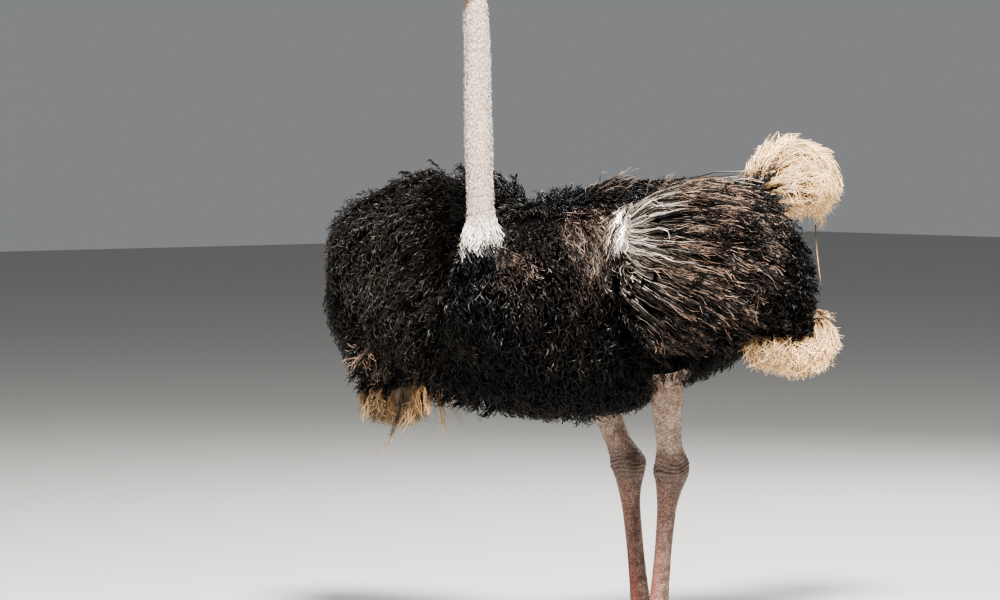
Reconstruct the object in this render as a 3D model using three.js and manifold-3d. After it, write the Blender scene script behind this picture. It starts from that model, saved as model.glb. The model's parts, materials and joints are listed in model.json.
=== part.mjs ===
// A life-size adult male ostrich, standing with both wings held out and lowered.
// Millimetres. The bird faces -Y, its left side is +X, +Z is up and it stands on z = 0.
// Each solid reaches out to the tips of the plumage, and neighbours meet across a thin gap.
import * as THREE from "three";
import { mergeVertices } from "three/addons/utils/BufferGeometryUtils.js";
import Module from "manifold-3d";

const wasm = await Module();
wasm.setup();

// ---------- driving dimensions ----------
const seam = 1.6; // gap between two neighbours
const ankleHeight = 525;
const neckTop = 1815; // where the neck passes into the throat
const eyeLevel = 1874; // height of the middle of the head
const headForward = 684; // from the feet forward to the middle of the head
const eyeRadius = 22;
const eyeSpread = 25; // each eyeball's centre, out from the middle of the head

const colours = {
  blackPlume: [0x15120f, 0.85],
  palePlume: [0xd9c3a0, 0.9],
  neckSkin: [0xb9a99c, 0.8],
  legSkin: [0x8f7a70, 0.7],
  bill: [0x9c8273, 0.5],
  claw: [0x4a3f38, 0.5],
  eye: [0x1d110a, 0.1],
};

// ---------- shapes ----------
const group = new THREE.Group();
const placed = []; // { solid, box, fat } of what stands already, which later pieces keep clear of

// A closed skin through oval sections. Each station has its centre `at` and `half`, the
// section's reach [sideways, towards `top`, away from `top`]; smooth curves join the stations.
// `clumps` [how many, how deep] are the swellings of gathered plumes round each section.
function loft(stations, shape) {
  const { around = 16, along = 16, top = [0, 0, 1], boxy = 2, ends = [0.5, 0.5], clumps = [0, 0] } = shape;
  const line = new THREE.CatmullRomCurve3(stations.map((s) => new THREE.Vector3(...s.at)));
  const reach = new THREE.CatmullRomCurve3(stations.map((s) => new THREE.Vector3(...s.half)));
  const topAxis = new THREE.Vector3(...top);
  const points = [];
  for (let i = 0; i <= along; i++) {
    const t = (1 - Math.cos((Math.PI * i) / along)) / 2;
    const forward = line.getTangent(t);
    const side = new THREE.Vector3().crossVectors(forward, topAxis).normalize();
    const up = new THREE.Vector3().crossVectors(side, forward);
    const half = reach.getPoint(t);
    // the last stretch at each end is drawn in to a round nose
    const nose = Math.min(1, t / (ends[0] + 1e-9), (1 - t) / (ends[1] + 1e-9));
    const round = Math.sqrt(Math.max(0, 1 - (1 - nose) ** 2));
    const centre = line.getPoint(t);
    if (i === 0 || i === along) {
      points.push(centre);
      continue;
    }
    for (let j = 0; j < around; j++) {
      const turn = (2 * Math.PI * j) / around;
      const c = Math.cos(turn);
      const s = Math.sin(turn);
      const swell = 1 + clumps[1] * (Math.cos(clumps[0] * turn + 4 * t) - 1);
      const x = Math.sign(c) * Math.abs(c) ** (2 / boxy) * half.x * swell;
      const y = Math.sign(s) * Math.abs(s) ** (2 / boxy) * (s > 0 ? half.y : half.z) * swell;
      points.push(centre.clone().addScaledVector(side, x * round).addScaledVector(up, y * round));
    }
  }
  return closedSkin(points, around, along - 1);
}

// Triangles over rings of `around` points between a first and a last single point.
function closedSkin(points, around, rings) {
  const triangles = [];
  const at = (ring, j) => 1 + ring * around + (j % around);
  const last = points.length - 1;
  for (let j = 0; j < around; j++) {
    triangles.push(0, at(0, j), at(0, j + 1));
    triangles.push(last, at(rings - 1, j + 1), at(rings - 1, j));
    for (let r = 0; r < rings - 1; r++) {
      triangles.push(at(r, j), at(r + 1, j), at(r + 1, j + 1));
      triangles.push(at(r, j), at(r + 1, j + 1), at(r, j + 1));
    }
  }
  const flat = new Float32Array(points.flatMap((p) => [p.x, p.y, p.z]));
  const made = new wasm.Manifold(
    new wasm.Mesh({ numProp: 3, vertProperties: flat, triVerts: new Uint32Array(triangles) }),
  );
  if (made.volume() > 0) return made;
  triangles.reverse();
  return new wasm.Manifold(
    new wasm.Mesh({ numProp: 3, vertProperties: flat, triVerts: new Uint32Array(triangles) }),
  );
}

// A stretched ball, tipped forward by `pitch` degrees and turned by `yaw` degrees.
function ball(centre, reach, { pitch = 0, yaw = 0, detail = 14 } = {}) {
  const shape = new THREE.SphereGeometry(1, detail, Math.round(detail * 0.7));
  shape.deleteAttribute("normal");
  shape.deleteAttribute("uv");
  const turn = new THREE.Euler(THREE.MathUtils.degToRad(pitch), 0, THREE.MathUtils.degToRad(yaw), "ZXY");
  shape.scale(...reach);
  shape.applyMatrix4(new THREE.Matrix4().makeRotationFromEuler(turn));
  shape.translate(...centre);
  const merged = mergeVertices(shape, 1e-3); // the ball's poles and its seam become one point each
  return new wasm.Manifold(
    new wasm.Mesh({
      numProp: 3,
      vertProperties: merged.attributes.position.array,
      triVerts: new Uint32Array(merged.index.array),
    }),
  );
}

function geometryOf(solid) {
  const mesh = solid.getMesh();
  const flat = new Float32Array(mesh.numVert * 3);
  for (let i = 0; i < mesh.numVert; i++) {
    flat.set(mesh.vertProperties.subarray(i * mesh.numProp, i * mesh.numProp + 3), i * 3);
  }
  const geometry = new THREE.BufferGeometry();
  geometry.setAttribute("position", new THREE.BufferAttribute(flat, 3));
  geometry.setIndex(new THREE.BufferAttribute(new Uint32Array(mesh.triVerts), 1));
  return geometry;
}

// The same solid with every face moved out by the seam, to cut its neighbours with.
function fattened(solid) {
  const geometry = geometryOf(solid);
  const flat = geometry.attributes.position.array;
  const corners = geometry.index.array;
  const corner = (i) => new THREE.Vector3().fromArray(flat, corners[i] * 3);
  const faces = [];
  for (let i = 0; i < corners.length; i += 3) {
    const cross = corner(i + 1).sub(corner(i)).cross(corner(i + 2).sub(corner(i)));
    if (cross.length() > 1e-6) faces.push({ first: i, normal: cross.normalize() });
  }
  const outward = Array.from({ length: flat.length / 3 }, () => new THREE.Vector3());
  for (const { first, normal } of faces) for (let k = 0; k < 3; k++) outward[corners[first + k]].add(normal);
  outward.forEach((v) => v.normalize());
  const slant = outward.map(() => 1);
  for (const { first, normal } of faces) {
    for (let k = 0; k < 3; k++) {
      const v = corners[first + k];
      slant[v] = Math.min(slant[v], outward[v].dot(normal));
    }
  }
  const moved = new Float32Array(flat);
  outward.forEach((v, n) => {
    const far = seam / Math.max(0.3, slant[n]);
    for (let k = 0; k < 3; k++) moved[n * 3 + k] += v.getComponent(k) * far;
  });
  return new wasm.Manifold(new wasm.Mesh({ numProp: 3, vertProperties: moved, triVerts: new Uint32Array(corners) }));
}

function apart(a, b) {
  return [0, 1, 2].some((k) => a.min[k] > b.max[k] + 1 || b.min[k] > a.max[k] + 1);
}

// Adds a solid as a named mesh, cut clear of everything placed before it.
function place(name, solid, look, smoothing = 1) {
  let cut = solid;
  for (const other of placed) {
    if (!apart(cut.boundingBox(), other.box)) cut = cut.subtract(other.fat);
  }
  const largest = cut.decompose().sort((a, b) => b.volume() - a.volume())[0].simplify(smoothing);
  placed.push({ fat: fattened(solid), box: solid.boundingBox() });
  const [color, roughness] = colours[look];
  const material = new THREE.MeshStandardMaterial({ color, roughness, metalness: 0 });
  const mesh = new THREE.Mesh(geometryOf(largest), material);
  mesh.name = name;
  group.add(mesh);
}

// Places one long solid as several lengths, cut by level planes at the heights given.
function placeInLengths(names, solid, heights, looks) {
  const edges = [Infinity, ...heights, -Infinity];
  names.forEach((name, i) => {
    let piece = solid;
    if (edges[i] < Infinity) piece = piece.trimByPlane([0, 0, -1], -edges[i] + seam / 2);
    if (edges[i + 1] > -Infinity) piece = piece.trimByPlane([0, 0, 1], edges[i + 1] + seam / 2);
    place(name, piece, looks[i]);
  });
}

// ---------- head ----------
// Distances along the head run forward from the middle of the eyes.
function headPoint(forward, up = 0, out = 0) {
  const nod = THREE.MathUtils.degToRad(6); // the bill points a little down
  return [
    out,
    -(headForward + forward * Math.cos(nod) + up * Math.sin(nod)),
    eyeLevel + up * Math.cos(nod) - forward * Math.sin(nod),
  ];
}

function eyes() {
  for (const [side, name] of [[1, "left"], [-1, "right"]]) {
    const centre = headPoint(6, 5, side * eyeSpread);
    place("eye_" + name, ball(centre, [eyeRadius, eyeRadius, eyeRadius], { detail: 12 }), "eye", 0.1);
  }
}

function skull() {
  const cranium = loft(
    [
      { at: headPoint(-62, -3), half: [24, 26, 28] },
      { at: headPoint(-38, -1), half: [34, 34, 36] },
      { at: headPoint(-10, 1), half: [37, 37, 39] },
      { at: headPoint(14, 0), half: [35, 34, 35] },
      { at: headPoint(38, -5), half: [31, 22, 23] },
      { at: headPoint(62, -10), half: [29, 13, 15] },
    ],
    { around: 18, along: 12, ends: [0.34, 0.16] },
  );
  const orbit = (side) => ball(headPoint(5, 5, side * 31), [9.5, 31, 28], { detail: 11 });
  const ear = (side) => ball(headPoint(-33, -8, side * 37), [6, 6, 7], { detail: 8 });
  return cranium.add(orbit(1)).add(orbit(-1)).subtract(ear(1)).subtract(ear(-1));
}

// Half of the flat bill: [forward, half width, thickness] from the gape to the tip.
function billHalf(direction) {
  const outline = [
    [34, 31, direction > 0 ? 13 : 13],
    [62, 30, direction > 0 ? 12 : 9],
    [96, 26, direction > 0 ? 9 : 7],
    [126, 20, direction > 0 ? 7.5 : 6],
    [direction > 0 ? 152 : 146, 12, direction > 0 ? 6 : 4.5],
  ];
  const gape = -12; // height of the line of the mouth
  return loft(
    outline.map(([forward, wide, thick]) => ({
      at: headPoint(forward, gape + direction * 0.3),
      half: direction > 0 ? [wide, thick, 0.4] : [wide, 0.4, thick],
    })),
    { around: 14, along: 9, ends: [0.12, 0.3], boxy: 2.3 },
  );
}

// ---------- neck ----------
function neck() {
  return loft(
    [
      { at: [0, -668, 1868], half: [30, 26, 27] },
      { at: [0, -655, neckTop], half: [34, 34, 34] },
      { at: [0, -647, 1700], half: [36, 37, 37] },
      { at: [0, -644, 1540], half: [37, 38, 38] },
      { at: [0, -640, 1380], half: [40, 41, 41] },
      { at: [0, -633, 1245], half: [48, 50, 48] },
      { at: [0, -612, 1130], half: [78, 82, 74] },
      { at: [0, -545, 1010], half: [122, 118, 112] },
      { at: [0, -440, 930], half: [150, 130, 130] },
    ],
    { around: 14, along: 20, top: [0, -1, 0], ends: [0.06, 0.2] },
  );
}

// ---------- body ----------
function trunk() {
  // forward, top, bottom and half width of the plumage along the body
  const profile = [
    [690, 1000, 795, 65],
    [640, 1100, 734, 158],
    [545, 1200, 690, 226],
    [410, 1290, 664, 268],
    [230, 1336, 668, 290],
    [40, 1352, 708, 292],
    [-150, 1347, 765, 268],
    [-330, 1320, 815, 215],
    [-480, 1258, 925, 130],
  ];
  return loft(
    profile.map(([forward, high, low, wide]) => {
      const middle = low + (high - low) * 0.54;
      return { at: [0, -forward, middle], half: [wide, high - middle, middle - low] };
    }),
    { around: 22, along: 16, ends: [0.13, 0.16], boxy: 2.4 },
  );
}

// One wing, out from the shoulder: [out, forward, height, half thickness, up, down]
const wingShape = {
  left: [
    [120, 330, 1110, 95, 130, 150],
    [320, 320, 1115, 118, 225, 235],
    [490, 265, 1105, 128, 250, 215],
    [637, 205, 1078, 122, 226, 162],
    [738, 165, 1085, 98, 182, 148],
    [798, 142, 1112, 66, 108, 104],
  ],
  right: [
    [120, 320, 1100, 95, 170, 300],
    [310, 345, 1080, 128, 268, 400],
    [465, 360, 1078, 132, 318, 382],
    [625, 378, 1050, 130, 322, 330],
    [778, 410, 955, 115, 255, 278],
    [898, 432, 890, 80, 115, 175],
  ],
};

function wing(side) {
  const sign = side === "left" ? 1 : -1;
  return loft(
    wingShape[side].map(([out, forward, high, thick, up, down]) => ({
      at: [sign * out, -forward, high],
      half: [thick, up, down],
    })),
    { around: 26, along: 13, ends: [0.2, 0.22], boxy: 2.15, clumps: [6, 0.035] },
  );
}

// The pale flight plumes that hang below each wing's end.
function leftFlightPlumes() {
  return loft(
    [
      { at: [580, -235, 925], half: [46, 42, 48] },
      { at: [670, -185, 890], half: [56, 56, 60] },
      { at: [752, -125, 882], half: [56, 64, 62] },
      { at: [790, -95, 955], half: [46, 48, 56] },
      { at: [780, -98, 1035], half: [34, 36, 40] },
    ],
    { around: 10, along: 8, ends: [0.16, 0.2] },
  );
}

function rightFlightPlumes() {
  const fringe = loft(
    [
      { at: [-540, -395, 745], half: [42, 50, 70] },
      { at: [-640, -400, 720], half: [52, 52, 84] },
      { at: [-740, -405, 722], half: [52, 50, 84] },
      { at: [-815, -405, 760], half: [36, 40, 50] },
    ],
    { around: 12, along: 8, ends: [0.2, 0.25] },
  );
  const strand = loft(
    [
      { at: [-650, -400, 700], half: [26, 24, 24] },
      { at: [-656, -402, 610], half: [15, 14, 14] },
      { at: [-665, -405, 528], half: [9, 8, 8] },
    ],
    { around: 8, along: 6, top: [0, -1, 0], ends: [0.15, 0.25] },
  );
  return fringe.add(strand);
}

function tail() {
  return loft(
    [
      { at: [0, 370, 1250], half: [60, 55, 55] },
      { at: [0, 455, 1300], half: [104, 82, 88] },
      { at: [0, 562, 1338], half: [140, 124, 128] },
      { at: [0, 648, 1312], half: [124, 98, 112] },
      { at: [0, 690, 1262], half: [84, 60, 70] },
    ],
    { around: 20, along: 11, ends: [0.18, 0.26], clumps: [5, 0.04] },
  );
}

// ---------- legs ----------
// Where each leg passes: [out, forward, height]
const legLine = {
  left: { thigh: [178, 135, 900], knee: [165, 108, 790], ankle: [119, 49, ankleHeight], foot: [118, 97, 72] },
  right: { thigh: [178, 120, 900], knee: [160, 95, 775], ankle: [111, 4, ankleHeight - 2], foot: [63, -14, 72] },
};

function legs() {
  for (const [side, sign] of [["left", 1], ["right", -1]]) {
    const { thigh, knee, ankle, foot } = legLine[side];
    const bone = (from, to, share) =>
      from.map((v, k) => (k === 1 ? -1 : k === 0 ? sign : 1) * (v + (to[k] - v) * share));
    const drumstick = loft(
      [
        { at: bone(thigh, knee, -0.2), half: [105, 120, 130] },
        { at: bone(thigh, knee, 0.35), half: [112, 122, 135] },
        { at: bone(thigh, knee, 0.95), half: [92, 98, 104] },
        { at: bone(knee, ankle, 0.26), half: [62, 64, 66] },
      ],
      { around: 12, along: 7, top: [0, -1, 0], ends: [0.2, 0.24] },
    );
    const shin = loft(
      [
        { at: bone(knee, ankle, -0.1), half: [52, 54, 56] },
        { at: bone(knee, ankle, 0.35), half: [41, 41, 44] },
        { at: bone(knee, ankle, 0.7), half: [34, 34, 38] },
        { at: bone(knee, ankle, 0.87), half: [40, 39, 50] },
        { at: bone(knee, ankle, 1), half: [44, 45, 56] },
        { at: bone(ankle, foot, 0.1), half: [36, 35, 42] },
        { at: bone(ankle, foot, 0.24), half: [25, 27, 28] },
        { at: bone(ankle, foot, 0.5), half: [22, 25, 25] },
        { at: bone(ankle, foot, 0.75), half: [24, 28, 27] },
        { at: bone(ankle, foot, 0.93), half: [29, 33, 32] },
        { at: bone(ankle, foot, 1.03), half: [30, 33, 32] },
      ],
      { around: 12, along: 20, top: [0, -1, 0], ends: [0.05, 0.06] },
    );
    const [x, forward] = [sign * foot[0], foot[1]];
    toes(side, sign, x, -forward);
    placeInLengths(["shank_" + side, "tarsus_" + side], shin, [ankleHeight + 28], ["legSkin", "legSkin"]);
    place("thigh_" + side, drumstick, "blackPlume");
  }
}

// The big toe points ahead, the small one outwards. Their pads are flat where they press the floor.
function toes(side, sign, x, y) {
  const ahead = (length, turnDegrees, height) => {
    const turn = THREE.MathUtils.degToRad(turnDegrees) * sign;
    return [x + Math.sin(turn) * length, y - Math.cos(turn) * length, height];
  };
  const toe = (turn, sizes, around) =>
    loft(
      sizes.map(([length, height, wide, up, down]) => ({
        at: ahead(length, turn, height),
        half: [wide, up, down],
      })),
      { around, along: 8, ends: [0.12, 0.16], boxy: 2.2 },
    ).trimByPlane([0, 0, 1], 0);
  const bigTurn = 2;
  const smallTurn = 32;
  place(
    "claw_big_" + side,
    toe(bigTurn, [[158, 20, 12, 9, 10], [178, 19, 13, 8, 12], [200, 13, 10, 6, 11], [222, 5, 5, 3, 4]], 10),
    "claw",
  );
  place("claw_small_" + side, toe(smallTurn, [[96, 14, 8, 6, 7], [106, 13, 8, 5, 8], [121, 5, 4, 3, 4]], 8), "claw");
  place(
    "toe_big_" + side,
    toe(
      bigTurn,
      [[-24, 44, 27, 22, 26], [16, 40, 31, 28, 38], [70, 29, 32, 22, 34], [122, 24, 30, 18, 29], [176, 19, 20, 13, 22]],
      12,
    ),
    "legSkin",
  );
  place(
    "toe_small_" + side,
    toe(smallTurn, [[6, 36, 20, 20, 22], [38, 27, 22, 18, 29], [76, 20, 20, 14, 24], [106, 14, 12, 9, 17]], 10),
    "legSkin",
  );
}

// ---------- assembly ----------
eyes();
place("bill_upper", billHalf(1), "bill", 0.2);
place("bill_lower", billHalf(-1), "bill", 0.2);
place("head", skull(), "neckSkin", 0.7);
placeInLengths(
  ["neck_upper", "neck_middle", "neck_lower", "neck_base"],
  neck(),
  [1640, 1440, 1245],
  ["neckSkin", "neckSkin", "neckSkin", "blackPlume"],
);
legs();
place("trunk", trunk(), "blackPlume", 0.6);
place("tail", tail(), "palePlume");
place("wing_left", wing("left"), "blackPlume");
place("wing_right", wing("right"), "blackPlume");
place("flight_plumes_left", leftFlightPlumes(), "palePlume");
place("flight_plumes_right", rightFlightPlumes(), "palePlume");

// The origin is on the floor, under the middle of the whole bird's box.
const box = new THREE.Box3().setFromObject(group);
const middle = box.getCenter(new THREE.Vector3());
for (const mesh of group.children) {
  mesh.position.set(-Math.round(middle.x), -Math.round(middle.y), 0);
}

export default group;
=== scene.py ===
import bpy
import json
import math
import time
import numpy as np
from mathutils import Matrix, Quaternion, Vector, noise
from mathutils.bvhtree import BVHTree

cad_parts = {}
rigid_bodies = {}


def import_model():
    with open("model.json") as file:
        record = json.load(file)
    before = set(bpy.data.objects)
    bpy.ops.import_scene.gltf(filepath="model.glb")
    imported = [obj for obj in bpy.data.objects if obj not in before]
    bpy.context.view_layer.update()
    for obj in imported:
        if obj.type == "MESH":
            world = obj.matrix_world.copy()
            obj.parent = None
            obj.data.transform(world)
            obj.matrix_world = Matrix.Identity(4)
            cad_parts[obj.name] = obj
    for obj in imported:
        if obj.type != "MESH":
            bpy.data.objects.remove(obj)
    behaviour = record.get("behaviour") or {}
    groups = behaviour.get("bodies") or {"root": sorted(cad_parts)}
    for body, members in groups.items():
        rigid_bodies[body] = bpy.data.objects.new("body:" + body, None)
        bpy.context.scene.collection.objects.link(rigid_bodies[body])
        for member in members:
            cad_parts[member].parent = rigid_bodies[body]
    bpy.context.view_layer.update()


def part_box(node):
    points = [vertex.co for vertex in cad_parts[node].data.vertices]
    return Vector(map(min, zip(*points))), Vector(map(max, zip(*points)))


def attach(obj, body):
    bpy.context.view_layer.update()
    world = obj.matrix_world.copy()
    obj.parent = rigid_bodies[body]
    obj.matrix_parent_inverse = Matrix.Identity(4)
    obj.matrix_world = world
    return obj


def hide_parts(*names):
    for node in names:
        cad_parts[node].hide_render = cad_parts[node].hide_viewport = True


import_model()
started = time.time()

# the bird faces -Y; places are given as (out to its left, forward, up) from between its feet
eyeLow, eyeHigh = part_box("eye_left")
nod = math.radians(6)
shift = Vector((
    (eyeLow[0] + eyeHigh[0]) / 2 - 0.025,
    (eyeLow[1] + eyeHigh[1]) / 2 + 0.684 + 0.006 * math.cos(nod) + 0.005 * math.sin(nod),
    0.0))


def tell(text):
    print(f"{time.time() - started:6.1f} s  {text}")


def at(left, forward, up):
    return np.array((left + shift.x, shift.y - forward, up))


def headAt(forward, up=0.0, out=0.0):
    # from the middle of the eyes; the bill points a little down
    return at(out, 0.684 + forward * math.cos(nod) + up * math.sin(nod),
              1.874 + up * math.cos(nod) - forward * math.sin(nod))


def unit(v):
    v = np.asarray(v, float)
    return v / np.maximum(np.linalg.norm(v, axis=-1, keepdims=True), 1e-9)


def smooth(low, high, x):
    t = np.clip((np.asarray(x, float) - low) / (high - low), 0, 1)
    return t * t * (3 - 2 * t)


def noiseAt(points, scale, seed=0.0):
    off = Vector((seed * 3.7, seed * 1.3, -seed * 2.1))
    return np.array([noise.noise(Vector(p) * scale + off) for p in points])



def curveThrough(stations, ts):
    # smooth centripetal curve, the same as the solids were drawn with
    p = np.asarray(stations, float)
    n = len(p)
    out = []
    for t in ts:
        s = min(max(t, 0.0), 1.0) * (n - 1)
        i = min(int(s), n - 2)
        w = s - i
        b, c = p[i], p[i + 1]
        a = p[i - 1] if i > 0 else 2 * b - c
        d = p[i + 2] if i + 2 < n else 2 * c - b
        ab, bc, cd = (math.sqrt(np.linalg.norm(q - r)) for q, r in ((b, a), (c, b), (d, c)))
        bc = bc if bc > 1e-6 else 1.0
        ab = ab if ab > 1e-6 else bc
        cd = cd if cd > 1e-6 else bc
        m1 = ((b - a) / ab - (c - a) / (ab + bc) + (c - b) / bc) * bc
        m2 = ((c - b) / bc - (d - b) / (bc + cd) + (d - c) / cd) * bc
        out.append(b + m1 * w + (3 * (c - b) - 2 * m1 - m2) * w ** 2 + (2 * (b - c) + m1 + m2) * w ** 3)
    return np.array(out)


def roundEnded(along):
    return (1 - np.cos(np.pi * np.arange(along + 1) / along)) / 2


def loftGrid(stations, around=64, ts=None, top=(0, 0, 1), boxy=2.0, ends=(0.5, 0.5), clumps=(0, 0.0), inset=0.0):
    # stations are (centre, (sideways, towards top, away from top)); inset draws the whole form in
    ts = roundEnded(48) if ts is None else np.asarray(ts)
    shares = ts
    if inset:
        line = curveThrough([s[0] for s in stations], np.linspace(0, 1, 60))
        cutShare = inset / np.linalg.norm(np.diff(line, axis=0), axis=1).sum()
        ts = cutShare + ts * (1 - 2 * cutShare)
    centres = curveThrough([s[0] for s in stations], ts)
    reach = curveThrough([s[1] for s in stations], ts)
    reach = np.maximum(reach - inset, reach * 0.35)
    step = 1e-4
    ahead = unit(curveThrough([s[0] for s in stations], np.minimum(ts + step, 1))
                 - curveThrough([s[0] for s in stations], np.maximum(ts - step, 0)))
    side = unit(np.cross(ahead, np.asarray(top, float)))
    up = np.cross(side, ahead)
    turn = 2 * np.pi * np.arange(around) / around
    c, s = np.cos(turn), np.sin(turn)
    rings = []
    for i in range(1, len(ts) - 1):
        t = ts[i]
        share = shares[i]
        nose = min(1.0, share / (ends[0] + 1e-9), (1 - share) / (ends[1] + 1e-9))
        full = math.sqrt(max(0.0, 1 - (1 - nose) ** 2))
        swell = full * (1 + clumps[1] * (np.cos(clumps[0] * turn + 4 * t) - 1))
        x = np.sign(c) * np.abs(c) ** (2 / boxy) * reach[i, 0] * swell
        y = np.sign(s) * np.abs(s) ** (2 / boxy) * np.where(s > 0, reach[i, 1], reach[i, 2]) * swell
        rings.append(centres[i] + np.outer(x, side[i]) + np.outer(y, up[i]))
    return np.array(rings), centres[0], centres[-1]


def loftFaces(rings, around):
    last = 1 + rings * around
    faces = []
    for j in range(around):
        k = (j + 1) % around
        faces.append((0, 1 + j, 1 + k))
        faces.append((last, last - around + k, last - around + j))
    for r in range(rings - 1):
        a = 1 + r * around
        for j in range(around):
            k = (j + 1) % around
            faces.append((a + j, a + around + j, a + around + k, a + k))
    return faces


def meshObject(name, verts, faces):
    mesh = bpy.data.meshes.new(name)
    mesh.from_pydata([tuple(v) for v in verts], [], faces)
    mesh.update()
    piece = bpy.data.objects.new(name, mesh)
    bpy.context.scene.collection.objects.link(piece)
    return piece


def coords(mesh):
    co = np.empty(len(mesh.vertices) * 3)
    mesh.vertices.foreach_get("co", co)
    return co.reshape(-1, 3)


def vertexNormals(mesh):
    n = np.empty(len(mesh.vertices) * 3)
    mesh.vertices.foreach_get("normal", n)
    return n.reshape(-1, 3)


def setCoords(mesh, co):
    mesh.vertices.foreach_set("co", np.ascontiguousarray(co, float).ravel())
    mesh.update()


def signedVolume(mesh):
    co = coords(mesh)
    mesh.calc_loop_triangles()
    tri = np.empty(len(mesh.loop_triangles) * 3, int)
    mesh.loop_triangles.foreach_get("vertices", tri)
    a, b, c = (co[tri.reshape(-1, 3)[:, k]] for k in range(3))
    return np.einsum("ij,ij->", a, np.cross(b, c)) / 6


def loftObject(name, stations, relief=None, **shape):
    # relief(rings) adds height along the normals
    rings, first, last = loftGrid(stations, **shape)
    around = rings.shape[1]
    verts = np.vstack([first[None], rings.reshape(-1, 3), last[None]])
    piece = meshObject(name, verts, loftFaces(len(rings), around))
    if signedVolume(piece.data) < 0:
        piece.data.flip_normals()
    if relief is not None:
        height = np.concatenate([[0], relief(rings), [0]])
        height[0], height[-1] = height[1:1 + around].mean(), height[-1 - around:-1].mean()
        setCoords(piece.data, coords(piece.data) + vertexNormals(piece.data) * height[:, None])
    return piece


def remove(piece):
    mesh = piece.data
    bpy.data.objects.remove(piece, do_unlink=True)
    bpy.data.meshes.remove(mesh)


def applied(piece, name=None):
    # the piece with its modifiers worked in, as a plain mesh
    depsgraph = bpy.context.evaluated_depsgraph_get()
    mesh = bpy.data.meshes.new_from_object(piece.evaluated_get(depsgraph), preserve_all_data_layers=True,
                                           depsgraph=depsgraph)
    out = bpy.data.objects.new(name or piece.name + "Done", mesh)
    bpy.context.scene.collection.objects.link(out)
    remove(piece)
    return out


def joined(name, pieces):
    verts, faces, base = [], [], 0
    for piece in pieces:
        verts.append(coords(piece.data))
        faces += [tuple(base + v for v in f.vertices) for f in piece.data.polygons]
        base += len(piece.data.vertices)
        remove(piece)
    return meshObject(name, np.vstack(verts), faces)


def remeshed(piece, voxel, soften=0):
    change = piece.modifiers.new("remesh", "REMESH")
    change.mode = "VOXEL"
    change.voxel_size = voxel
    if soften:
        ease = piece.modifiers.new("soften", "SMOOTH")
        ease.factor = 0.5
        ease.iterations = soften
    return applied(piece)


def united(base, others):
    for other in others:
        cut = base.modifiers.new("unite", "BOOLEAN")
        cut.operation = "UNION"
        cut.solver = "MANIFOLD"
        cut.object = other
    out = applied(base)
    for other in others:
        remove(other)
    return out


def minus(base, others):
    for other in others:
        cut = base.modifiers.new("cut", "BOOLEAN")
        cut.operation = "DIFFERENCE"
        cut.solver = "MANIFOLD"
        cut.object = other
    out = applied(base)
    for other in others:
        remove(other)
    return out


# the same forms as the solids; coat is how deep the feathers lie over the skin

trunk = {
    "profile": [(0.690, 1.000, 0.795, 0.065), (0.640, 1.100, 0.734, 0.158), (0.545, 1.200, 0.690, 0.226),
                (0.410, 1.290, 0.664, 0.268), (0.230, 1.336, 0.668, 0.290), (0.040, 1.352, 0.708, 0.292),
                (-0.150, 1.347, 0.765, 0.268), (-0.330, 1.320, 0.815, 0.215), (-0.480, 1.258, 0.925, 0.130)],
    "coat": 0.036,
}
wings = {
    "left": [(0.120, 0.330, 1.110, 0.095, 0.130, 0.150), (0.320, 0.320, 1.115, 0.118, 0.225, 0.235),
             (0.490, 0.265, 1.105, 0.128, 0.250, 0.215), (0.637, 0.205, 1.078, 0.122, 0.226, 0.162),
             (0.738, 0.165, 1.085, 0.098, 0.182, 0.148), (0.798, 0.142, 1.112, 0.066, 0.108, 0.104)],
    "right": [(0.120, 0.320, 1.100, 0.095, 0.170, 0.300), (0.310, 0.345, 1.080, 0.128, 0.268, 0.400),
              (0.465, 0.360, 1.078, 0.132, 0.318, 0.382), (0.625, 0.378, 1.050, 0.130, 0.322, 0.330),
              (0.778, 0.410, 0.955, 0.115, 0.255, 0.278), (0.898, 0.432, 0.890, 0.080, 0.115, 0.175)],
    "coat": 0.036,
}
neck = {
    "stations": [((0, 0.668, 1.868), (0.030, 0.026, 0.027)), ((0, 0.655, 1.815), (0.034, 0.034, 0.034)),
                 ((0, 0.647, 1.700), (0.036, 0.037, 0.037)), ((0, 0.644, 1.540), (0.037, 0.038, 0.038)),
                 ((0, 0.640, 1.380), (0.040, 0.041, 0.041)), ((0, 0.633, 1.245), (0.048, 0.050, 0.048)),
                 ((0, 0.612, 1.130), (0.078, 0.082, 0.074)), ((0, 0.545, 1.010), (0.122, 0.118, 0.112)),
                 ((0, 0.440, 0.930), (0.150, 0.130, 0.130))],
    "coat": 0.0045,
    "baseCoat": 0.016,
}
tail = {
    "stations": [((0, -0.335, 1.245), (0.075, 0.070, 0.070)), ((0, -0.422, 1.300), (0.106, 0.086, 0.092)),
                 ((0, -0.527, 1.344), (0.140, 0.124, 0.130)), ((0, -0.612, 1.318), (0.124, 0.098, 0.114)),
                 ((0, -0.656, 1.262), (0.084, 0.060, 0.074))],
    "coat": 0.040,
}
flight = {
    "left": [((0.580, 0.235, 0.940), (0.046, 0.042, 0.048)), ((0.670, 0.185, 0.910), (0.056, 0.056, 0.060)),
             ((0.744, 0.130, 0.906), (0.056, 0.064, 0.062)), ((0.768, 0.110, 0.960), (0.046, 0.048, 0.054)),
             ((0.750, 0.132, 1.020), (0.024, 0.028, 0.032))],
    "right": [((-0.540, 0.395, 0.745), (0.042, 0.050, 0.070)), ((-0.640, 0.400, 0.720), (0.052, 0.052, 0.084)),
              ((-0.740, 0.405, 0.722), (0.052, 0.050, 0.084)), ((-0.815, 0.405, 0.760), (0.036, 0.040, 0.050))],
    "coat": 0.026,
}
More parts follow.
